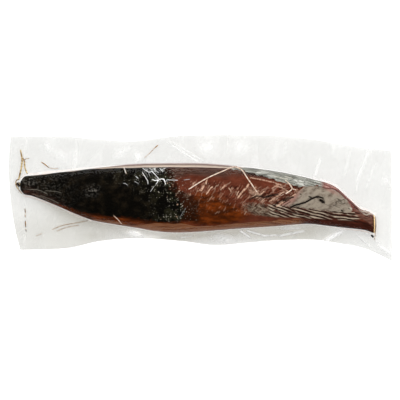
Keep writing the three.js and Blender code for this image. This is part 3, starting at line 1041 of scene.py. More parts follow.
        # painted shade: the grooves between the light rib ridges
        wave = g.plus(g.share("rib_across"), g.times(g.ribs, 1.7))
        wave = g.times(wave, 2 * math.pi / RIB_PITCH)
        ridge = g.plus(g.times(g.math("COSINE", wave), 0.5), 0.5)
        worn = g.laid("along", "rib_across", 14, 3)
        ribbed = g.grain(self.groove, g.grain(self.ridge, self.dark, worn, (0.46, 0.62)), ridge, (0.4, 0.72))
        g.lay(g.ragged(g.share("ribs"), worn, 0.9, 0.3), ribbed, 0.95)
        blotches = g.noise(g.places((0.6, 1.2, 1), -24), 4, 5)
        belly = g.grain(self.membrane, self.membrane_shade, blotches, (0.42, 0.72))
        belly = g.over(g.rise(g.fine, 0.6, 0.8), belly, self.membrane_shade, 0.7)
        belly = g.over(g.ragged(g.share("blush"), g.fine, 0.8, 0.4), belly, self.blush, 0.8)
        g.lay(g.ragged(g.share("membrane"), g.fine, 0.9, 0.2), belly)
        pale = g.times(g.strokes("pale", g.waver), g.rise(g.fine, 0.36, 0.54))
        g.lay(pale, self.fleck)
        g.lay(g.strokes("crack", g.waver), self.char)

    def silver_skin(self, g: FleshGraph) -> None:
        """Colours the silver skin along the far edge, with painted highlights in pale patches.

        Args:
            g: the loin's material.
        """
        streaks = g.laid("along", "edge_across", 14, 1.3)
        silver = g.grain(self.silver, self.silver_dark, streaks, (0.46, 0.62))
        worn = g.math("SUBTRACT", g.fine, 0.5)
        # painted highlights: pale patches on the silver skin
        patches = g.scaled(worn, 0.5, g.laid("along", "edge_across", 16, 2.4))
        silver = g.over(g.rise(patches, 0.5, 0.7), silver, self.silver_light, 0.8)
        silver = g.over(g.rise(g.coarse, 0.5, 0.66), silver, self.silver_dark, 0.6)
        g.lay(g.ragged(g.share("silver"), streaks, 1.3, 0.15), silver)

    def red_rim(self, g: FleshGraph) -> None:
        """Colours the reddish rim of the head end, with a dark line and a pale line of painted highlight,
        and the neck.

        Args:
            g: the loin's material.
        """
        rim = g.grain(self.rim, self.rim_dark, g.laid("along", "edge_across", 8, 1.2), (0.42, 0.6))
        rim = g.over(g.rise(g.laid("along", "edge_across", 5, 0.9), 0.6, 0.68), rim, self.blush, 0.6)
        rim = g.over(g.share("neck"), rim, g.grain(self.neck, self.groove, g.lines, (0.42, 0.62)), 0.9)
        inward = g.plus(g.share("edge_in"), g.times(g.fine, 0.8))
        dark_line = g.rise(g.math("ABSOLUTE", g.math("SUBTRACT", inward, 3.0)), 1.1, 0.5)
        rim = g.over(g.times(dark_line, g.rise(g.lines, 0.3, 0.5)), rim, self.rim_dark, 0.8)
        # painted highlight: a pale line along the rim's outer edge
        highlight_line = g.rise(inward, 2.3, 1.7)
        broken = g.rise(g.laid("along", "edge_across", 11, 1.7), 0.4, 0.56)
        rim = g.over(g.times(highlight_line, broken), rim, self.rim_pale, 0.85)
        g.lay(g.ragged(g.share("rim"), g.fine, 1.0, 0.3), rim)

    def cut_face(self, g: FleshGraph) -> None:
        """Colours the cut face with its pale ring.

        Args:
            g: the loin's material.
        """
        cut = g.share("cut")
        g.lay(g.rise(cut, 0.1, 0.3), self.groove, 0.8)
        face = g.grain(self.flesh_light, self.flesh_dark, g.noise(g.places(), 2.6, 4), (0.4, 0.62))
        face = g.over(g.share("cut_ring"), face, g.grain(self.cut, self.rim_dark, g.fine, (0.5, 0.7)))
        g.lay(g.rise(cut, 0.75, 0.95), face)

    def black_skin(self, g: FleshGraph) -> None:
        """Colours the black skin, its smudge and wrinkles, and the scorched flesh past its torn end.

        Args:
            g: the loin's material.
        """
        skin = g.grain(self.skin_dark, self.skin_light, g.coarse, (0.42, 0.8))
        torn = g.times(g.share("speckle"), g.rise(g.coarse, 0.45, 0.6))
        skin = g.over(torn, skin, self.skin_green, 0.8)
        blobs = g.noise(g.plain, 1.9, 2)
        smudge = g.times(g.share("smudge"), g.rise(blobs, 0.46, 0.66))
        skin = g.over(smudge, skin, self.smudge, 0.9)
        creased = g.scaled(g.lines, 0.5, g.times(g.fine, 0.5))
        wrinkled = g.grain(self.skin_dark, self.wrinkle, creased, (0.42, 0.58))
        skin = g.over(g.share("wrinkles"), skin, wrinkled)
        blots = g.scaled(blobs, 0.6, g.times(g.fine, 0.4))
        g.lay(g.ragged(g.share("scorch"), blots, 1.2, 0.4), self.scorch, 0.85)
        g.lay(g.ragged(g.share("skin"), blots, 1.7, 0.2), skin)

    def strewn_specks(self, g: FleshGraph) -> None:
        """Colours the pale specks and scraps strewn along the skin's torn end; many specks, the lines along
        the stump and a dot on the neck are painted highlights.

        Args:
            g: the loin's material.
        """
        strewn = g.times(g.share("speckle"), g.rise(g.coarse, 0.36, 0.52))
        # painted highlights: small pale specks along the skin's torn end
        small = g.times(g.specks(g.plain, 1.4, 0.56, 0.75), strewn)
        large = g.specks(g.plain, 2.9, 0.95, 0.45)
        large = g.times(large, g.times(strewn, g.share("scorch")))
        g.lay(g.strokes("scrap_and_highlight", g.waver), self.speck, 0.7)
        g.lay(small, self.speck, 0.85)
        g.lay(large, self.fleck, 0.6)

    def fatty_edge(self, g: FleshGraph) -> None:
        """Colours the pale fat along the far edge, duller down the flank.

        Args:
            g: the loin's material.
        """
        fat = g.share("fat")
        grain = g.laid("along", "edge_across", 18, 1.2)
        below = g.grain(self.fat_line, self.mauve, grain, (0.48, 0.62))
        below = g.over(g.rise(grain, 0.34, 0.26), below, self.fat)
        rind = g.over(g.rise(g.fine, 0.52, 0.7), self.fat, self.fat_line, 0.45)
        rind = g.over(g.ragged(fat, g.fine, 0.5, 0.56), rind, below, 0.9)
        edge = g.times(fat, g.plus(g.lines, 0.6))
        g.lay(g.rise(edge, 0.04, 0.2), rind, 0.95)


# Painted highlights on the film over the loin: white strokes that stand in for its glints.
GLINTS = stroke_rows(
    (0.22, 0.8, -50.8, 26.2, -47.9, 23.9, -44.5, 23),
    (0.22, 0.8, -51.3, 22.5, -49, 18.8, -46.7, 15.3, -46.4, 13),
    (0.23, 0.9, -43.3, 23.9, -40.4, 21.1, -37.5, 17.9), (0.19, 0.7, -41.6, 26, -37.5, 22.8),
    (0.22, 0.8, -35.8, 26, -33.5, 23.7),
    (0.27, 1, -42.1, 16.2, -39.9, 15.3, -37, 15.9, -34.7, 17, -32.1, 16.5, -30.7, 12.4),
    (0.2, 0.8, -36.7, 15.7, -39, 12.5), (0.16, 0.5, -41, 10.2, -43.8, 5.9),
    (0.17, 0.6, -45, 26.4, -42.6, 24.6), (0.14, 0.45, -47.4, 26.6, -45, 19.8),
    (0.17, 0.6, -39.6, 26.8, -40.8, 23.6), (0.23, 0.6, -28.8, 16.1, -25.5, 15.9, -20.4, 15.6),
    (0.23, 0.6, -33.6, 25.4, -30.8, 26.6), (0.31, 0.5, -57, 18.8, -55.4, 17.6),
    (0.19, 0.4, -68, 13, -66, 12.6, -64.6, 11.2), (0.19, 0.7, -67.9, 27, -66.6, 22.8),
    (0.2, 0.35, -58.2, 14.8, -54.8, 12.6), (0.16, 0.22, -12.9, -9.4, -15.8, -13.4, -18, -17.4),
    (0.2, 0.35, -14, 15.9, -9.8, 16.5),
)


@dataclass(frozen=True)
class ClearFilm:
    """Clear pouch film: see-through, glossy, faintly milky where two films meet and white on its creases,
    with painted light: whiter patches, streaks and glints, a cream halo by the loin, and grey painted shadow
    in the margin.
    """

    tight: tuple = srgb(254, 254, 253)
    loose: tuple = srgb(233, 233, 232)
    line: tuple = srgb(186, 168, 164)
    milk: tuple = srgb(250, 250, 249)
    # painted halo: the cream of the line where the film leaves the loin
    seam: tuple = srgb(230, 202, 188)
    # grey of the painted shadow on the margin's film
    shade: tuple = srgb(196, 193, 182)
    gloss: tuple = srgb(255, 255, 255)
    sheen: float = 0.008
    edge_sheen: float = 0.6
    roughness: float = 0.08

    def build(self) -> bpy.types.Material:
        """Builds the material.

        Returns:
            The material, which reads the shares stored on the film.
        """
        g = Graph("clear_film")
        plain = g.places()
        wave = g.noise(g.places((1, 1, 0.4), 20), 9, 3, 0.5)
        pucker = g.noise(g.places((0.5, 1.2, 1), -35), 3, 2, 0.5)
        loose = g.share("loose")
        normal = g.bump(g.plus(wave, g.times(pucker, 0.3)), 0.35)
        clear = g.mix(g.share("shade"), g.mix(loose, self.tight, self.loose), self.shade)
        clear = g.mix(g.share("line"), clear, self.line)
        clear = g.node("BsdfTransparent", Color=clear)
        seam = g.share("seam")
        milk = g.node("BsdfDiffuse", Color=g.mix(seam, self.milk, self.seam), Normal=normal)
        gloss = g.node("BsdfGlossy", Color=self.gloss, Roughness=self.roughness, Normal=normal)
        # painted reflections: soft whiter streaks over the loose film of the margin
        streaks = g.rise(g.noise(g.places((1, 0.3, 1), 8), 13, 1, 0.4), 0.5, 0.62)
        haze = g.times(g.share("haze"), g.rise(pucker, 0.1, 0.5))
        haze = g.plus(haze, g.times(g.times(streaks, loose), 0.07))
        broken = g.rise(g.noise(g.places((0.3, 1, 1)), 3, 3), 0.25, 0.6)
        haze = g.plus(haze, g.times(seam, broken))
        # painted highlights: the glint strokes, drawn as white film
        glints = g.times(g.strokes("glint", g.noise(plain, 2.2, 2), 3.0), 0.9)
        haze = g.math("MAXIMUM", haze, g.times(glints, g.rise(pucker, 0.2, 0.36)))
        cloudy = g.node("MixShader", Fac=g.math("MINIMUM", haze, 0.95))
        g.feed(cloudy.inputs[1], clear.outputs[0])
        g.feed(cloudy.inputs[2], milk.outputs[0])
        facing = g.node("LayerWeight", Blend=0.5, Normal=normal).outputs["Facing"]
        sheen = g.scaled(g.math("POWER", facing, 6), self.edge_sheen, self.sheen)
        shiny = g.node("MixShader", Fac=sheen)
        g.feed(shiny.inputs[1], cloudy.outputs[0])
        g.feed(shiny.inputs[2], gloss.outputs[0])
        return g.finish(shiny.outputs[0])


class StrawTone(Enum):
    """How far a straw was browned by the smoke."""

    CREAM = "cream"
    GOLDEN = "golden"
    DARK = "dark"
    CHARRED = "charred"


@dataclass(frozen=True)
class DryStraw:
    """Dry rice straw with fine streaks along it."""

    tone: StrawTone

    def build(self) -> bpy.types.Material:
        """Builds the material.

        Returns:
            The material.
        """
        light, dark = {
            StrawTone.CREAM: (srgb(240, 224, 208), srgb(196, 166, 144)),
            StrawTone.GOLDEN: (srgb(250, 222, 160), srgb(134, 92, 50)),
            StrawTone.DARK: (srgb(206, 150, 78), srgb(40, 22, 10)),
            StrawTone.CHARRED: (srgb(52, 32, 16), srgb(20, 11, 6)),
        }[self.tone]
        g = Graph("straw_" + self.tone.value)
        blotch = g.noise(g.places(), 1.7, 3)
        fine = g.noise(g.places(), 0.4, 2)
        colour = g.mix(g.rise(blotch, 0.42, 0.58), light, dark)
        colour = g.mix(g.times(g.rise(fine, 0.5, 0.8), 0.4), colour, dark)
        shader = g.node("BsdfPrincipled", Base_Color=colour, Roughness=0.5, Normal=g.bump(fine, 0.15))
        return g.finish(shader.outputs[0])


@dataclass(frozen=True)
class PaleTable:
    """The plain pale table that the pack lies on."""

    colour: tuple = srgb(200, 200, 200)
    shade: tuple = srgb(190, 190, 190)
    glow: float = 0.8

    def build(self) -> bpy.types.Material:
        """Builds the material.

        Returns:
            The material.
        """
        g = Graph("pale_table")
        grain = g.noise(g.places(), 40, 3)
        colour = g.mix(g.times(grain, 0.1), self.colour, self.shade)
        white = srgb(255, 255, 255)
        glow = {"Emission_Color": white, "Emission_Strength": self.glow}
        shader = g.node("BsdfPrincipled", Base_Color=colour, Roughness=0.9, **glow)
        return g.finish(shader.outputs[0])


# ---------------------------------------------------------------- mesh helpers


def finish_piece(
    bm: bmesh.types.BMesh, name: str, material: bpy.types.Material, places: Array
) -> bpy.types.Object:
    """Turns a bmesh into a piece of the pack.

    Args:
        bm: the mesh, which is freed.
        name: the piece's name.
        material: its finish.
        places: the vertices' places in millimetres.

    Returns:
        The piece, in metres, smooth shaded, with doubles merged and faces outwards.
    """
    for vertex, place in zip(bm.verts, places * MM):
        vertex.co = place
    bmesh.ops.remove_doubles(bm, verts=bm.verts[:], dist=MERGE * MM)
    bmesh.ops.dissolve_degenerate(bm, edges=bm.edges[:], dist=SLIVER * MM)
    bmesh.ops.recalc_face_normals(bm, faces=bm.faces[:])
    for face in bm.faces:
        face.smooth = True
    mesh = bpy.data.meshes.new(name)
    bm.to_mesh(mesh)
    bm.free()
    mesh.materials.append(material)
    piece = bpy.data.objects.new(name, mesh)
    bpy.context.scene.collection.objects.link(piece)
    return piece


def draw_strokes(piece: bpy.types.Object, name: str, strokes: Sequence[Stroke], shown: Array) -> None:
    """Stores, for each vertex, its signed offset from the nearest stroke, in half widths, and the strength.

    Args:
        piece: the piece that the strokes are drawn on.
        name: the set's name.
        strokes: the strokes.
        shown: share of each vertex that may be drawn on.
    """
    x, y, _ = places_of(piece).T
    best, offset, strength = np.full(x.shape, FAR_OFF), np.zeros(x.shape), np.zeros(x.shape)
    reach = 3.0
    for stroke in strokes:
        for (x0, y0), (x1, y1) in zip(stroke.route, stroke.route[1:]):
            dx, dy = x1 - x0, y1 - y0
            length = math.hypot(dx, dy)
            beside = (x > min(x0, x1) - reach) & (x < max(x0, x1) + reach)
            close = np.flatnonzero(beside & (y > min(y0, y1) - reach) & (y < max(y0, y1) + reach))
            along = ((x[close] - x0) * dx + (y[close] - y0) * dy) / length
            aside = ((x[close] - x0) * dy - (y[close] - y0) * dx) / length
            past = np.maximum(np.maximum(-along, along - length), 0)
            gap = np.hypot(aside, past)
            nearer = gap < best[close]
            close, aside, past, gap = close[nearer], aside[nearer], past[nearer], gap[nearer]
            best[close] = gap
            offset[close] = aside / stroke.half
            ends = 1 - step(0.1, 1.0, past)
            strength[close] = stroke.strength * ends * (1 - step(1.4, 2.6, np.abs(aside)))
    store(piece, name + "_offset", offset)
    store(piece, name + "_strength", strength * shown)


def places_of(piece: bpy.types.Object) -> Array:
    """Reads the places of a piece's vertices.

    Args:
        piece: the piece.

    Returns:
        Rows of x, y and z, in millimetres.
    """
    flat = np.empty(3 * len(piece.data.vertices), np.float32)
    piece.data.vertices.foreach_get("co", flat)
    return flat.reshape(-1, 3).astype(float) / MM


def store(piece: bpy.types.Object, name: str, share: Array) -> None:
    """Stores a share for each vertex on a piece's mesh."""
    layer = piece.data.attributes.new(name, "FLOAT", "POINT")
    layer.data.foreach_set("value", np.ascontiguousarray(share, np.float32))


# ---------------------------------------------------------------- the loin


@dataclass
class SmokedLoin:
    """The smoked loin, a closed surface fine enough for its flakes and ribs.

    Attributes:
        rings: rows of faces along the loin.
        sides: faces round it.
        cap: share of the rows that close each end.
        top_share: share of the faces round it that lie on the dome.
        lift: height of its foot above the film below it.
        stump_dome: how far the stump's end bulges.
        cut_rough: depth of the cut face's unevenness.
        notched: depth of the notches in the cut's far rim.
        finish: the loin's finish.
    """

    rings: int = 400
    sides: int = 200
    cap: float = 0.03
    top_share: float = 0.7
    lift: float = 0.35
    stump_dome: float = 0.1
    cut_rough: float = 0.5
    notched: float = 0.55
    finish: SmokedFlesh = field(default_factory=SmokedFlesh)

    def build(self) -> bpy.types.Object:
        """Builds the loin and stores its looks.

        Returns:
            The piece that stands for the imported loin.
        """
        bm = bmesh.new()
        bmesh.ops.create_uvsphere(bm, u_segments=self.sides, v_segments=self.rings, radius=1)
        ball = np.array([v.co[:] for v in bm.verts])
        along = np.arccos(np.clip(ball[:, 2], -1, 1)) / math.pi
        round_share = np.arctan2(ball[:, 1], ball[:, 0]) / (2 * math.pi) % 1
        piece = finish_piece(bm, "loin", self.finish.build(), self.wrap(along, round_share))
        self.mark(piece)
        return piece

    def wrap(self, along: Array, round_share: Array) -> Array:
        """Lays points on the loin.

        Args:
            along: way from the tail's middle, over its surface, to the head cut's middle, from 0 to 1.
            round_share: way round the section, from 0 to 1.

        Returns:
            The points' places, with the loin's relief.
        """
        inner = np.clip((along - self.cap) / (1 - 2 * self.cap), 0, 1)
        x = FORM.tail_x + (FORM.head_x - FORM.tail_x) * inner
        domed = round_share / self.top_share
        footed = 1 + (round_share - self.top_share) / (1 - self.top_share)
        angle = math.pi * np.where(round_share < self.top_share, domed, footed)
        y, z, up = FORM.surface(x, angle)
        relief = MARKS.relief(x, y) * step(0.1, 0.7, up)
        z = z + relief - RELIEF_SINK * step(0.1, 0.7, up)
        closing = np.clip(np.minimum(along, 1 - along) / self.cap, 0, 1)
        _, middle, seam, _, _ = FORM.section(x)
        y = middle + (y - middle) * closing
        z = seam + (z - seam) * closing
        dome = 1 - closing**2
        x = x - self.stump_dome * dome * (along < 0.5)
        x = x + (self.cut_rough * ripple(y, z * 1.6, 5, 30) - 0.3) * dome * (along > 0.5)
        y = y + self.notched * ripple(x, z, 2.4, 31) * step(144, 149, x) * step(0, 8, y - middle)
        return np.stack([x, y, np.maximum(z, self.lift)], 1)

    def mark(self, piece: bpy.types.Object) -> None:
        """Stores where each look lies, with the top's own looks kept off the foot.

        Args:
            piece: the loin.
        """
        x, y, z = places_of(piece).T
        half, middle, seam, rise, drop = FORM.section(x)
        top = step(-0.3, 0.1, (z - seam) / seam)
        fall = FORM.crest(x) - z
        slanted = x - (1.4 * (seam - z) + 3 * ripple(x, z, 9, 61)) * step(0, 2, seam - z)
        out = np.hypot((y - middle) / half, (z - seam) / np.where(z > seam, rise, drop))
        shares = {
            "side": MARKS.side(slanted, y),
            "flecks": np.maximum(MARKS.flecks(x, y) * top, 0.5 * (1 - top) * (1 - MARKS.skin(x, y))),
            "dense": spot(x, y, (72, 5), (22, 11), -8) + 0.6 * spot(x, y, (52, -7), (16, 6), -14),
            "fat": MARKS.fat(x, y) * top * step(-1, 1, z - seam),
            "cut": step(FORM.head_x - 2.4, FORM.head_x - 0.7, x),
            "cut_ring": step(0.88, 0.96, out),
            "edge_in": FORM.upper_edge(x) - y - 3.4 * band(92, 117, 8, x),
            "edge_across": FORM.upper_edge(x) - y + 0.6 * np.abs(z - seam),
            "along": x,
            "across": 1.1 * y + 0.6 * fall * np.tanh((y - middle) / 7) + 0.12 * x * step(20, 90, x),
            "flake_along": 0.56 * x + 0.83 * y,
            "flake_across": 0.58 * MARKS.flake_across(x, y),
        }
        for mark in (MARKS.skin, MARKS.blush, MARKS.neck, MARKS.dark, MARKS.rib_across):
            shares[mark.__name__] = mark(x, y)
        for mark in (
            MARKS.silver, MARKS.membrane, MARKS.orange, MARKS.mauve, MARKS.speckle, MARKS.scorch,
            MARKS.green, MARKS.hollow, MARKS.ribs, MARKS.rim, MARKS.wrinkles, MARKS.smudge,
        ):
            shares[mark.__name__] = mark(x, y) * top
        for name, share in shares.items():
            store(piece, name, share)
        drawn = {"crack": CRACKS, "pale": PALE_LINES, "fibre": fibre_ends(), "braid": braid()}
        drawn["scrap_and_highlight"] = SCRAP_AND_HIGHLIGHT_LINES
        for name, strokes in drawn.items():
            draw_strokes(piece, name, strokes, top)


# ---------------------------------------------------------------- straw


@dataclass(frozen=True)
class Straw:
    """One bit of straw.

    Attributes:
        name: the piece's name.
        route: the places it passes, from above.
        tone: its colour.
        radius: half its thickness.
        on_loin: whether it lies on the loin, and not in the margin.
    """

    name: str
    route: Route
    tone: StrawTone = StrawTone.CREAM
    radius: float = 0.42
    on_loin: bool = False


LOIN_STRAWS = (
    Straw(
        "straw_long_leg", ((-10.3, 7.6), (5.2, 17), (24.5, 25.7), (30.3, 28.1)), radius=0.5, on_loin=True
    ),
    Straw(
        "straw_short_leg", ((30.3, 28.1), (36.9, 24.9), (41.8, 17.7), (50.7, 4.7)), radius=0.5, on_loin=True
    ),
    Straw("straw_split", ((31.6, 28.6), (35, 25.8), (36.6, 23.6)), StrawTone.DARK, 0.25, True),
    Straw("straw_upper_bit", ((-68.4, 27.4), (-67, 24.4), (-65.6, 21.2)), StrawTone.CREAM, 0.3, True),
    Straw("straw_lower_bit", ((-77.1, -15.8), (-73, -19.5), (-70.2, -23.2)), StrawTone.CREAM, 0.34, True),
    Straw("straw_hook", ((75.8, 15.8), (79.6, 12), (81.6, 8), (76, 3.6)), radius=0.5, on_loin=True),
    Straw("straw_hook_bit", ((81.6, 8), (85.4, 7.2)), radius=0.4, on_loin=True),
)
MARGIN_STRAWS = (
    Straw(
        "tie_left",
        ((-161.6, 43.2), (-160.1, 34.1), (-160.9, 26.9), (-162.2, 20.6), (-163.3, 16)),
        StrawTone.GOLDEN, 0.72,
    ),
    Straw(
        "tie_right", ((-160.4, 36.8), (-158.1, 33.2), (-157.7, 27.8), (-155.4, 21.6)), StrawTone.GOLDEN, 0.6
    ),
    Straw("tie_whisker", ((-159.8, 33.4), (-156.6, 35), (-153.6, 35.6)), StrawTone.GOLDEN, 0.3),
    Straw(
        "knot_ring",
        ((-163.6, 17), (-165.3, 15.4), (-165.8, 13.4), (-165, 10.2), (-162.6, 6.8), (-160, 3.6)),
        StrawTone.GOLDEN, 0.5,
    ),
    Straw("knot_core", ((-164.5, 13.6), (-162.5, 10.2)), StrawTone.CHARRED, 1.4),
    Straw("knot_bit", ((-162.6, 14), (-161.9, 10.4)), StrawTone.GOLDEN, 0.6),
    Straw(
        "far_straw", ((-142.8, 32.1), (-140.1, 30.5), (-137.9, 28.7), (-135.6, 26.9)), StrawTone.DARK, 0.42
    ),
    Straw("far_straw_tail", ((-135.6, 26.9), (-129.8, 26.2), (-127.5, 26.6)), StrawTone.CREAM, 0.38),
    Straw(
        "near_straw",
        ((-132.9, -28.4), (-123.9, -24.8), (-111.8, -22.6), (-101, -20.4)),
        StrawTone.CREAM, 0.45,
    ),
    Straw("near_straw_pair", ((-128.9, -29.8), (-119, -26.2), (-109, -24.6)), StrawTone.CREAM, 0.35),
    Straw("near_straw_end", ((-147.6, -34.2), (-142, -32)), StrawTone.CREAM, 0.3),
    Straw("seal_straw", ((-157.5, -9.7), (-157, -13.8)), StrawTone.DARK, 0.42),
    Straw("seal_straw_second", ((-157.4, -15.1), (-157.2, -17.4)), StrawTone.DARK, 0.34),
    Straw("seal_straw_third", ((-157.2, -20.5), (-156.8, -26.4)), StrawTone.DARK, 0.46),
    Straw("seal_straw_fourth", ((-156.7, -27.8), (-156.4, -30.4)), StrawTone.DARK, 0.36),
    Straw("long_far_straw", ((-50, 36), (-45, 40.6), (-41.4, 44.4)), StrawTone.CREAM, 0.35),
    Straw("far_bit", ((-41.4, 44.4), (-38, 47.3)), StrawTone.DARK, 0.45),
    Straw("end_bit", ((153.6, -33.2), (155.6, -35.4)), StrawTone.CHARRED, 0.95),
    Straw("end_straw", ((157.6, -17), (157.8, -24), (157.4, -31), (156.4, -38)), StrawTone.CREAM, 0.5),
)


# ---------------------------------------------------------------- the pouch


@dataclass(frozen=True)
class Crease:
    """A fold of the film: where it runs, how high it stands, and how white it is; its white is partly the
    folded film's own and partly painted highlight.
    """

    start: Pair
    end: Pair
    height: float
    half: float
    white: float = 0.1


CREASES = (
    Crease((-29, 50), (-2, 32.4), 0.4, 0.6, 0.3),
    Crease((-26, 51), (2, 33.4), 0.3, 0.5, 0.25),
    Crease((-79, 36), (-66, 47), 0.5, 0.8, 0.2),
    Crease((-74, 36), (-62, 46), 0.4, 0.6, 0.2),
    Crease((-111, 54), (-111.4, 40), 0.4, 1.6, 0.15),
    Crease((-112, 42), (-113.6, 26), 0.5, 2.4, 0.15),
    Crease((25, 55), (24.6, 40), 0.4, 0.6, 0.25),
    Crease((68.6, 52), (68, 33), 0.4, 2.2, 0.15),
    Crease((76.4, 51), (76, 42), 0.4, 1.6, 0.15),
    Crease((108, 35.5), (102.4, 18), 0.6, 1.3, 0.3),
    Crease((122, 52), (119, 36), 0.4, 2.4, 0.1),
    Crease((134.6, 42), (129.6, 20), 0.5, 1.3, 0.2),
    Crease((152, 44), (141.4, 17), 0.6, 1.4, 0.25),
    Crease((141.4, 17), (139.6, 4), 0.5, 1.1, 0.2),
    Crease((157.8, 32), (149, 9), 0.5, 1.1, 0.2),
    Crease((164, 19), (172, 8), 0.5, 1.6, 0.2),
    Crease((113, -38.5), (127.6, -30), 0.7, 1.3, 1.0),
    Crease((35.6, -29.4), (45, -35.6), 0.6, 1.0, 0.75),
    Crease((41.6, -29.4), (58, -34), 0.5, 0.9, 0.7),
    Crease((57, -34), (69, -33.4), 0.4, 0.7, 0.7),
    Crease((71, -34), (93, -29.8), 0.5, 1.0, 0.75),
    Crease((141, -33), (153, -44), 0.5, 1.0, 0.3),
    Crease((148, -31), (162, -41), 0.5, 1.2, 0.25),
    Crease((160, -43), (172, -50), 0.6, 1.3, 0.4),
    Crease((-64, -31), (-52, -36), 0.6, 2.6, 0.4),
    Crease((-20, -36), (-6, -34), 0.4, 0.8, 0.3),
)


@dataclass(frozen=True)
class Patch:
    """A painted reflection: a soft patch where the margin's film is drawn whiter.

    Attributes:
        place: its middle.
        reach: its half length and half width.
        slant: its turn from +X, in degrees.
        white: how white it is.
    """

    place: Pair
    reach: Pair
    slant: float = 0
    white: float = 0.4


REFLECTION_PATCHES = (
    Patch((-137, 45.8), (5, 2.6), -58, 0.3),
    Patch((-125, 38), (9, 4.6), -35, 0.25),
    Patch((-70.4, 41), (8, 5), 30, 0.25),
    Patch((-56, 37.7), (4, 5), 0, 0.3),
    Patch((5.2, 45.8), (8, 6), 10, 0.25),
    Patch((36, 45), (10, 8), 25, 0.25),
    Patch((68, 42), (9, 10), 0, 0.15),
    Patch((-58.7, -32.4), (5.5, 2.6), -8, 0.2),
    Patch((21, -36.5), (9, 3.6), -8, 0.6),
    Patch((82, -27.4), (11, 1.7), 3, 0.4),
    Patch((167, 15), (5, 3), 40, 0.2),
)


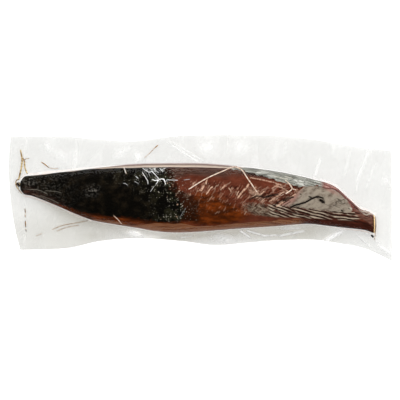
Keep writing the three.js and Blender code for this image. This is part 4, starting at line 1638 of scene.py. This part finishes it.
@dataclass
class VacuumPouch:
    """The pouch: two films, tight on the loin and pressed together round it, as one closed surface.

    Its methods of x and y take places along and across the pack, and give an array for them.

    Attributes:
        side_steps: faces along each long side.
        end_steps: faces along each end.
        top_steps: faces of the upper film, from the loin's crest to where the film leaves it.
        margin_steps: faces from there to the pouch's free edge.
        foot_steps: faces of the lower film under the loin.
        spread: power that sets the margin's rows closer together beside the loin.
        stand_off: clearance of the film from the loin's form.
        top_gap: more clearance over its relief.
        end_gap: clearance from its end faces.
        end_bulge: how much more the film stands off the middle of an end face.
        thick: distance between the two films in the margin.
        pinch: share of that distance which is lost at the free edge.
        leave: angle above the loin's widest line where the upper film leaves it.
        edge_z: usual height of the free edge.
        least_z: least height between the margin's two films.
        floor: least height of the lower film.
        tent: distance over which the upper film falls from the loin to the margin.
        seal_x: heat seal across the tail end.
        near_tail_x: the tail corner on the near side.
        far_tail_x: the tail corner on the far side.
        finish: the film's finish.
    """

    side_steps: int = 320
    end_steps: int = 56
    top_steps: int = 46
    margin_steps: int = 29
    foot_steps: int = 12
    spread: float = 1.25
    stand_off: float = 0.45
    top_gap: float = 0.65
    end_gap: float = 0.5
    end_bulge: float = 0.6
    thick: float = 0.3
    pinch: float = 0.6
    leave: float = 0.12
    edge_z: float = 3.4
    least_z: float = 1.0
    floor: float = 0.05
    tent: float = 2.4
    seal_x: float = -157.2
    near_tail_x: float = -161.6
    far_tail_x: float = -170.5
    finish: ClearFilm = field(default_factory=ClearFilm)

    far_edge: Profile = Profile(
        (-170.5, 55.6), (-120, 55.2), (-90, 52.4), (-58, 51.2), (-22, 55.6), (22, 56.8), (66, 56),
        (106, 52), (136, 46.6), (172.5, 42.4),
    )
    near_edge: Profile = Profile(
        (-161.6, -46.8), (-119, -45), (-90, -38.8), (-54, -36.2), (-16, -38.8), (13, -42.4), (38, -40.6),
        (64, -38.4), (100, -37.5), (120, -40), (148, -45.5), (172.5, -56.8),
    )
    tail_edge: Profile = Profile(
        (-46.8, -161.6), (-30, -166), (-10, -169.4), (10, -171.6), (29, -172.5), (55.6, -170.5),
    )

    @property
    def head_x(self) -> float:
        """Gives the pouch's straight head end."""
        return float(POUCH_HIGH[0])

    def spokes(self) -> tuple[Array, Array, Array]:
        """Lays spokes from the loin out to the free edge, anticlockwise from the near corner of the tail.

        Returns:
            For each spoke the x of the loin's section, its side there (-1 near, 1 far, between them on an
            end), and the free edge's place.
        """
        k = np.linspace(0, 1, self.side_steps + 1)
        x = FORM.tail_x + (FORM.head_x - FORM.tail_x) * k
        rows = np.arange(1, self.end_steps) / self.end_steps
        near_x = self.near_tail_x + (self.head_x - self.near_tail_x) * k
        far_x = self.far_tail_x + (self.head_x - self.far_tail_x) * k
        near_head, far_head = self.near_edge(self.head_x), self.far_edge(self.head_x)
        near_tail, far_tail = self.near_edge(self.near_tail_x), self.far_edge(self.far_tail_x)
        head_y = near_head + (far_head - near_head) * rows
        tail_y = far_tail + (near_tail - far_tail) * rows
        one = np.ones(len(rows))
        section = np.concatenate([x, FORM.head_x * one, x[::-1], FORM.tail_x * one])
        side = np.concatenate([np.full(len(x), -1.0), 2 * rows - 1, np.full(len(x), 1.0), 1 - 2 * rows])
        edge_x = np.concatenate([near_x, self.head_x * one, far_x[::-1], self.tail_edge(tail_y)])
        edge_y = np.concatenate([self.near_edge(near_x), head_y, self.far_edge(far_x[::-1]), tail_y])
        return section, side, np.stack([edge_x, edge_y], 1)

    def creased(self, x: Array, y: Array) -> Array:
        """Gives the height that the folds add to the film of the margin.

        Args:
            x: places along the pack.
            y: places across it.

        Returns:
            The height at each place.
        """
        total = 0.22 * ripple(x, y, 12, 40) + 0.1 * ripple(x, y, 5, 41)
        for crease in CREASES:
            total = total + crease.height * self.fold(x, y, crease)
        return total

    @staticmethod
    def fold(x: Array, y: Array, crease: Crease) -> Array:
        """Gives one fold's shape: 1 along its ridge, fading at both ends.

        Args:
            x: places along the pack.
            y: places across it.
            crease: the fold.

        Returns:
            The share at each place.
        """
        (x0, y0), (x1, y1) = crease.start, crease.end
        dx, dy = x1 - x0, y1 - y0
        along = ((x - x0) * dx + (y - y0) * dy) / (dx * dx + dy * dy)
        aside = ((x - x0) * dy - (y - y0) * dx) / math.hypot(dx, dy)
        return np.exp(-((aside / crease.half) ** 2)) * band(0, 1, 0.12, along)

    def middle(self, x: Array, y: Array, out: Array, way: Array) -> Array:
        """Gives the height between the margin's two films.

        Args:
            x: places along the pack.
            y: places across it.
            out: way from the loin, at 0, to the free edge, at 1.
            way: way round the pouch, from 0 to 1.

        Returns:
            The heights.
        """
        curl = 0.9 * np.sin(10 * np.pi * way + 0.6) + 0.6 * np.sin(22 * np.pi * way + 2.5)
        held = FORM.seam_share * FORM.crest(x)
        t = step(-0.35, 1, out)
        z = held + (self.edge_z + curl - held) * t + self.creased(x, y) * step(0, 0.3, out)
        return np.maximum(z, self.least_z)

    def build(self) -> bpy.types.Object:
        """Builds the film and stores its looks.

        Returns:
            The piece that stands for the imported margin.
        """
        section, side, edge = self.spokes()
        count = len(section)
        rows = 2 * self.margin_steps + self.top_steps + self.foot_steps + 1
        bm = bmesh.new()
        bmesh.ops.create_grid(bm, x_segments=count, y_segments=rows, size=0.5)
        grid = np.array([v.co[:2] for v in bm.verts]) + 0.5
        spoke = np.rint(grid[:, 0] * count).astype(int)
        row = np.rint(grid[:, 1] * rows).astype(int)
        places = self.lay(section, side, edge)
        piece = finish_piece(bm, "film", self.finish.build(), places[row, spoke % count])
        self.mark(piece)
        return piece

    def mark(self, piece: bpy.types.Object) -> None:
        """Stores where the film is loose, white with partly painted light, grey with painted shadow or
        glinting with painted highlights, and where it leaves the loin.

        Args:
            piece: the film.
        """
        x, y, z = places_of(piece).T
        within = np.minimum(np.minimum(FORM.upper_edge(x) - y, y - FORM.lower_edge(x)), x - FORM.tail_x)
        within = np.minimum(within, FORM.head_x - x)
        outside = 1 - step(-1.5, 0, within)
        store(piece, "loose", (1 - step(-1.2, 0.2, within)) * (1 - self.bright(x, y)))
        _, middle, seam, rise, _ = FORM.section(x, self.stand_off)
        leaves = np.exp(-(((z - seam - 0.2 * rise) / 2.4) ** 2)) * step(-0.5, 0.5, z - seam)
        bare = self.clear_over_straws(x, y)
        store(piece, "seam", self.seam(x, y, within) * leaves * (1 - bare))
        draw_strokes(piece, "glint", GLINTS, step(6, 9, z))
        store(piece, "haze", (self.haze(x, y) * (1 - bare) - 0.1 * bare) * outside)
        store(piece, "shade", self.shade(x, y) * outside)
        far = step(0, 4, y - middle)
        store(piece, "line", far * np.exp(-(((within + 0.1) / 0.6) ** 2)) * band(-72, 30, 10, x))

    def lay(self, section: Array, side: Array, edge: Array) -> Array:
        """Lays the film's rows, from the loin's crest out over the upper film and back under the lower one.

        Args:
            section: x of the loin's section at each spoke.
            side: side of the loin at each spoke.
            edge: free edge's place at each spoke.

        Returns:
            Places by row and spoke.
        """
        way = np.arange(len(section)) / len(section)
        over = [self.on_loin(section, side, q, 1) for q in np.linspace(0, 1, self.top_steps + 1)]
        under = [self.on_loin(section, side, q, -1) for q in np.linspace(0, 1, self.foot_steps + 1)]
        spread = np.linspace(0, 1, self.margin_steps + 1)[1:] ** self.spread
        upper = [self.in_margin(over[-1], edge, q, way, 1) for q in spread]
        lower = [self.in_margin(under[-1], edge, q, way, -1) for q in spread]
        return np.array(over + upper + lower[::-1] + under[::-1])

    def on_loin(self, section: Array, side: Array, q: float, face: int) -> Array:
        """Lays one row of film on the loin.

        Args:
            section: x of the loin's section at each spoke.
            side: side of the loin at each spoke.
            q: way from the middle line, at 0, to where the film leaves the loin, at 1.
            face: 1 over the loin, -1 under it.

        Returns:
            The row's places.
        """
        quarter = math.pi / 2
        turn = (quarter - self.leave) * q
        angle = np.where(side > 0, quarter - turn, quarter + turn) * face
        y, z, _ = FORM.surface(section, angle, self.stand_off)
        corner = np.abs(side) < 1
        flat_y, flat_z, _ = FORM.surface(section, np.full_like(angle, quarter * face), self.stand_off)
        leaving = np.where(side > 0, self.leave, math.pi - self.leave) * face
        rim_y, rim_z, _ = FORM.surface(section, leaving, self.stand_off)
        middle = FORM.section(section)[1]
        end_y = middle + (rim_y - middle) * np.abs(side)
        y = np.where(corner, flat_y + (end_y - flat_y) * q, y)
        z = np.where(corner, flat_z + (rim_z - flat_z) * q, z)
        bulge = self.end_bulge * corner * math.sin(math.pi * min(q, 1)) + self.end_gap
        tail = np.where(section <= FORM.tail_x, -bulge - self.end_bulge * corner, 0)
        x = section + np.where(section >= FORM.head_x, bulge, tail)
        if face > 0:
            z = z + self.top_gap + 0.15 * ripple(x, y, 15, 44)
        else:
            z = np.maximum(z, self.floor)
        return np.stack([x, y, z], 1)

    def in_margin(self, start: Array, edge: Array, q: float, way: Array, face: int) -> Array:
        """Lays one row of film in the margin.

        Args:
            start: places where the film leaves the loin.
            edge: the free edge's places.
            q: way from there, at 0, to the free edge, at 1.
            way: way round the pouch, from 0 to 1.
            face: 1 for the upper film, -1 for the lower one.

        Returns:
            The row's places.
        """
        x = start[:, 0] + (edge[:, 0] - start[:, 0]) * q
        y = start[:, 1] + (edge[:, 1] - start[:, 1]) * q
        gone = q * np.hypot(edge[:, 0] - start[:, 0], edge[:, 1] - start[:, 1])
        middle = self.middle(x, y, np.full_like(x, q), way)
        apart = self.thick / 2 * (1 - self.pinch * step(0.93, 1, q)) + self.pushed_out(x, y)
        held = self.middle(start[:, 0], start[:, 1], np.zeros_like(x), way)
        tented = (start[:, 2] - held) * np.exp(-gone / self.tent)
        z = middle + face * apart + tented
        return np.stack([x, y, np.maximum(z, self.floor)], 1)

    @staticmethod
    def pushed_out(x: Array, y: Array) -> Array:
        """Gives how far each film is pushed out by the straws of the margin.

        Args:
            x: places along the pack.
            y: places across it.

        Returns:
            The distance at each place.
        """
        total = np.zeros_like(x)
        for straw in MARGIN_STRAWS:
            total = np.maximum(total, (straw.radius + 0.1) * line(x, y, straw.route, 1.6))
        return total

    @staticmethod
    def seam(x: Array, y: Array, within: Array) -> Array:
        """Gives the pale cream line where the film leaves the loin, strongest at both ends: a painted halo
        of light along the loin's edge.

        Args:
            x: places along the pack.
            y: places across it.
            within: distance in from the loin's outline.

        Returns:
            The share at each place.
        """
        far = y > (FORM.upper_edge(x) + FORM.lower_edge(x)) / 2
        on_far = 0.85 - 0.6 * band(-78, 108, 8, x) + 0.3 * band(-78, 34, 5, x)
        strength = np.where(far, on_far, 0.85 - 0.5 * band(-88, 116, 10, x))
        return strength * np.exp(-(((within + 1.2) / 0.8) ** 2))

    @staticmethod
    def shade(x: Array, y: Array) -> Array:
        """Gives the painted shadow on the margin's film, as how grey it is at each place: most where the
        film hangs loose under the near edge, and beside that edge.

        Args:
            x: places along the pack.
            y: places across it.

        Returns:
            The share at each place.
        """
        near_shadow = 0.26 * spot(x, y, (-24, -34), (22, 4.5), 2) + 0.2 * spot(x, y, (20, -32), (30, 4), 5)
        near_shadow = near_shadow + 0.14 * spot(x, y, (-94, -34), (10, 3.5)) + 0.14 * spot(x, y, (68, -32), (24, 3.5), 3)
        corner_shadow = 0.2 * spot(x, y, (-120, -34), (52, 30)) + 0.24 * spot(x, y, (92, -34), (36, 8))
        edge = FORM.lower_edge(x)
        # painted shadow beside the loin's near edge, fading outwards
        beside = 0.3 * np.exp(-(((edge - y) / 8) ** 2)) * (y < edge + 2) * band(-140, 114, 12, x)
        return np.clip((near_shadow + corner_shadow + beside) * (1 - VacuumPouch.bright(x, y)), 0, 1)

    @staticmethod
    def bright(x: Array, y: Array) -> Array:
        """Marks painted highlights where the film hangs loose under the near edge: places drawn clearer, and
        so brighter, than the painted shadow round them.
        """
        total = 1.4 * spot(x, y, (-58.7, -32), (6, 2.4), -10) + 0.5 * spot(x, y, (-44, -35), (14, 2.4))
        return np.clip(total + 0.8 * spot(x, y, (118, -35), (9, 1.6), 30), 0, 1)

    def haze(self, x: Array, y: Array) -> Array:
        """Marks how white the margin's film is: most on its folds, whose white is partly painted highlight,
        on its painted reflection patches, and on its seal.

        Args:
            x: places along the pack.
            y: places across it.

        Returns:
            The share at each place.
        """
        white = 0.03 + 0.02 * ripple(x, y, 30, 50)
        for crease in CREASES:
            white = white + crease.white * self.fold(x, y, crease)
        for patch in REFLECTION_PATCHES:
            white = np.maximum(white, patch.white * spot(x, y, patch.place, patch.reach, patch.slant))
        seal = line(x, y, ((self.seal_x - 0.6, -46), (self.seal_x, 0), (self.seal_x + 0.8, 55)), 0.9)
        return np.clip(white + 0.15 * seal + 0.03 * step(0, 1.5, self.seal_x - x), 0, 1)

    @staticmethod
    def clear_over_straws(x: Array, y: Array) -> Array:
        """Marks the film that lies close on the margin's straws, where it is clearest.

        Args:
            x: places along the pack.
            y: places across it.

        Returns:
            The share at each place.
        """
        total = np.zeros_like(x)
        for straw in MARGIN_STRAWS:
            total = np.maximum(total, line(x, y, straw.route, straw.radius + 0.8))
        return total


@dataclass
class StrawBits:
    """The straws under the film: the tie on the tail stump and the loose bits.

    Attributes:
        pouch: the pouch whose films hold those of the margin.
        sides: faces round a straw.
        pitch: length of a straw's rings.
        flat: height of a straw, as a share of its width.
        sunk: height of a straw's middle over the loin, as a share of its radius.
    """

    pouch: VacuumPouch
    sides: int = 8
    pitch: float = 0.8
    flat: float = 0.75
    sunk: float = 0.8

    def build(self) -> list[bpy.types.Object]:
        """Builds every straw.

        Returns:
            The pieces.
        """
        finishes = {tone: DryStraw(tone).build() for tone in StrawTone}
        return [self.lay(straw, finishes[straw.tone]) for straw in LOIN_STRAWS + MARGIN_STRAWS]

    def lay(self, straw: Straw, material: bpy.types.Material) -> bpy.types.Object:
        """Lays one straw along its route: a cylinder cut into rings, which are moved onto the route.

        Args:
            straw: the straw.
            material: its finish.

        Returns:
            The piece.
        """
        path = self.smooth(straw.route)
        height = self.on_loin(path) if straw.on_loin else self.in_margin(path)
        spine = np.column_stack([path, height + (straw.radius * self.sunk if straw.on_loin else 0)])
        rings = len(spine) - 1
        bm = bmesh.new()
        bmesh.ops.create_cone(bm, cap_ends=True, segments=self.sides, radius1=1, radius2=1, depth=1)
        sides = [e for e in bm.edges if abs(e.verts[0].co.z - e.verts[1].co.z) > 0.5]
        bmesh.ops.subdivide_edges(bm, edges=sides, cuts=rings - 1, use_grid_fill=True)
        unit = np.array([v.co[:] for v in bm.verts])
        ring = np.rint((unit[:, 2] + 0.5) * rings).astype(int)
        ahead = np.gradient(spine, axis=0)
        ahead /= np.linalg.norm(ahead, axis=1, keepdims=True)
        across = np.cross(ahead, (0, 0, 1.0))
        across /= np.linalg.norm(across, axis=1, keepdims=True)
        above = np.cross(across, ahead)
        taper = straw.radius * (1 - 0.35 * np.abs(np.linspace(-1, 1, rings + 1)) ** 6)
        taper *= 1 + 0.12 * ripple(spine[:, 0], spine[:, 1], 6, len(straw.name))
        out = unit[:, :1] * across[ring] + self.flat * unit[:, 1:2] * above[ring]
        return finish_piece(bm, straw.name, material, spine[ring] + taper[ring, None] * out)

    def smooth(self, route: Route) -> Array:
        """Rounds a route off.

        Args:
            route: the places that it passes.

        Returns:
            Evenly spaced places along it, as rows of x and y.
        """
        knots = np.array(route, float)
        gone = np.concatenate([[0], np.cumsum(np.hypot(*np.diff(knots, axis=0).T))])
        count = max(4, round(gone[-1] / self.pitch))
        s = np.linspace(0, gone[-1], count + 1)
        if len(knots) < 3:
            return np.column_stack([np.interp(s, gone, knots[:, i]) for i in (0, 1)])
        return np.column_stack([Profile(*zip(gone, knots[:, i]))(s) for i in (0, 1)])

    @staticmethod
    def on_loin(path: Array) -> Array:
        """Lays a path on the loin's top, which a stiff straw bridges.

        Args:
            path: rows of x and y.

        Returns:
            The evened height at each row.
        """
        x, y = path.T
        rough = FORM.height(x, y) + MARKS.relief(x, y) - RELIEF_SINK
        reach = 3
        kernel = np.ones(2 * reach + 1) / (2 * reach + 1)
        return np.convolve(np.pad(rough, reach, mode="edge"), kernel, mode="valid")

    def in_margin(self, path: Array) -> Array:
        """Lays a path between the margin's two films.

        Args:
            path: rows of x and y.

        Returns:
            The height at each row.
        """
        section, side, edge = self.pouch.spokes()
        start = self.pouch.on_loin(section, side, 1.0, 1)[:, :2]
        run = edge - start
        heights = []
        for x, y in path:
            dx, dy = x - start[:, 0], y - start[:, 1]
            q = np.clip((dx * run[:, 0] + dy * run[:, 1]) / (run**2).sum(1), 0, 1)
            best = int(np.argmin(np.hypot(dx - q * run[:, 0], dy - q * run[:, 1])))
            one = np.array([x]), np.array([y]), q[best : best + 1], np.array([best / len(section)])
            heights.append(float(self.pouch.middle(*one)[0]))
        return np.array(heights)


# ---------------------------------------------------------------- table, lights and camera


@dataclass(frozen=True)
class Studio:
    """A pale table, soft light from the far side and a camera straight above the pack.

    Attributes:
        view_width: width of the table that the picture takes in, in metres.
        distance: height of the camera, in metres.
        aim: place on the table below the camera, in millimetres.
        sensor: width of the camera's sensor, in millimetres.
        table_half: half the table's width, in metres.
    """

    view_width: float = 0.36
    distance: float = 2.6
    aim: Pair = (-0.2, -1.9)
    sensor: float = 36
    table_half: float = 3.0

    def build(self) -> None:
        """Builds the table, the lights and the camera."""
        self.table()
        self.lamp("sky", (0.25, 0.6, 1.8), (3.2, 2.4), 76)
        self.lamp("key", (0.1, 1.6, 0.8), (1.6, 0.5), 6)
        self.lamp("fill", (-0.1, -1.7, 0.6), (1.8, 0.5), 5)
        self.world()
        self.camera()

    def table(self) -> None:
        """Lays the table."""
        bm = bmesh.new()
        bmesh.ops.create_grid(bm, x_segments=2, y_segments=2, size=1)
        places = np.array([v.co[:] for v in bm.verts]) * self.table_half / MM
        finish_piece(bm, "table", PaleTable().build(), places)

    @staticmethod
    def lamp(name: str, place: Triple, size: Pair, power: float) -> None:
        """Hangs a soft lamp that faces the pack and mirrors in nothing.

        Args:
            name: the lamp's name.
            place: its middle, in metres.
            size: its width and height, in metres.
            power: its power, in watts.
        """
        data = bpy.data.lights.new(name, "AREA")
        data.shape = "RECTANGLE"
        data.size, data.size_y = size
        data.energy = power
        lamp = bpy.data.objects.new(name, data)
        lamp.location = place
        lamp.visible_glossy = False
        lamp.rotation_euler = (-Vector(place)).to_track_quat("-Z", "Y").to_euler()
        bpy.context.scene.collection.objects.link(lamp)

    @staticmethod
    def world() -> None:
        """Sets the room light: pale walls all round and a dark ceiling, which mirrors in no film."""
        world = bpy.data.worlds.new("studio")
        world.use_nodes = True
        nodes, links = world.node_tree.nodes, world.node_tree.links
        height = nodes.new("ShaderNodeSeparateXYZ")
        links.new(nodes.new("ShaderNodeTexCoord").outputs["Generated"], height.inputs[0])
        fade = nodes.new("ShaderNodeMapRange")
        fade.inputs["From Min"].default_value, fade.inputs["From Max"].default_value = 0.15, 0.45
        fade.inputs["To Min"].default_value, fade.inputs["To Max"].default_value = 0.3, 0.05
        links.new(height.outputs["Z"], fade.inputs["Value"])
        links.new(fade.outputs[0], nodes["Background"].inputs["Strength"])
        nodes["Background"].inputs["Color"].default_value = (1, 1, 1, 1)
        bpy.context.scene.world = world

    def camera(self) -> None:
        """Hangs the camera above the pack, with the picture's top towards +Y."""
        data = bpy.data.cameras.new("camera")
        data.sensor_width = self.sensor
        data.lens = self.sensor * self.distance / self.view_width
        data.clip_end = 20
        camera = bpy.data.objects.new("camera", data)
        camera.location = (self.aim[0] * MM, self.aim[1] * MM, self.distance)
        bpy.context.scene.collection.objects.link(camera)
        bpy.context.scene.camera = camera


# ---------------------------------------------------------------- assembly


def attach(piece: bpy.types.Object, slot: str, *nodes: str) -> None:
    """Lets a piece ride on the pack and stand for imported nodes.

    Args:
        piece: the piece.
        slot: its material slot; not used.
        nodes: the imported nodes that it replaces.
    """
    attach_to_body(piece, BODY)
    if nodes:
        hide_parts(*nodes)
    LOG.info("%s: %d vertices", piece.name, len(piece.data.vertices))


def main() -> None:
    """Builds the pack in order: the loin, the film, the straws under the film and the studio."""
    logging.basicConfig(level=logging.INFO, format="%(name)s: %(message)s")
    bpy.context.scene.view_settings.view_transform = "Standard"
    attach(SmokedLoin().build(), "smoked_flesh", LOIN_NODE)
    pouch = VacuumPouch()
    attach(pouch.build(), "clear_film", MARGIN_NODE)
    for straw in StrawBits(pouch).build():
        attach(straw, "smoked_flesh")
    Studio().build()


if __name__ == "__main__":
    main()
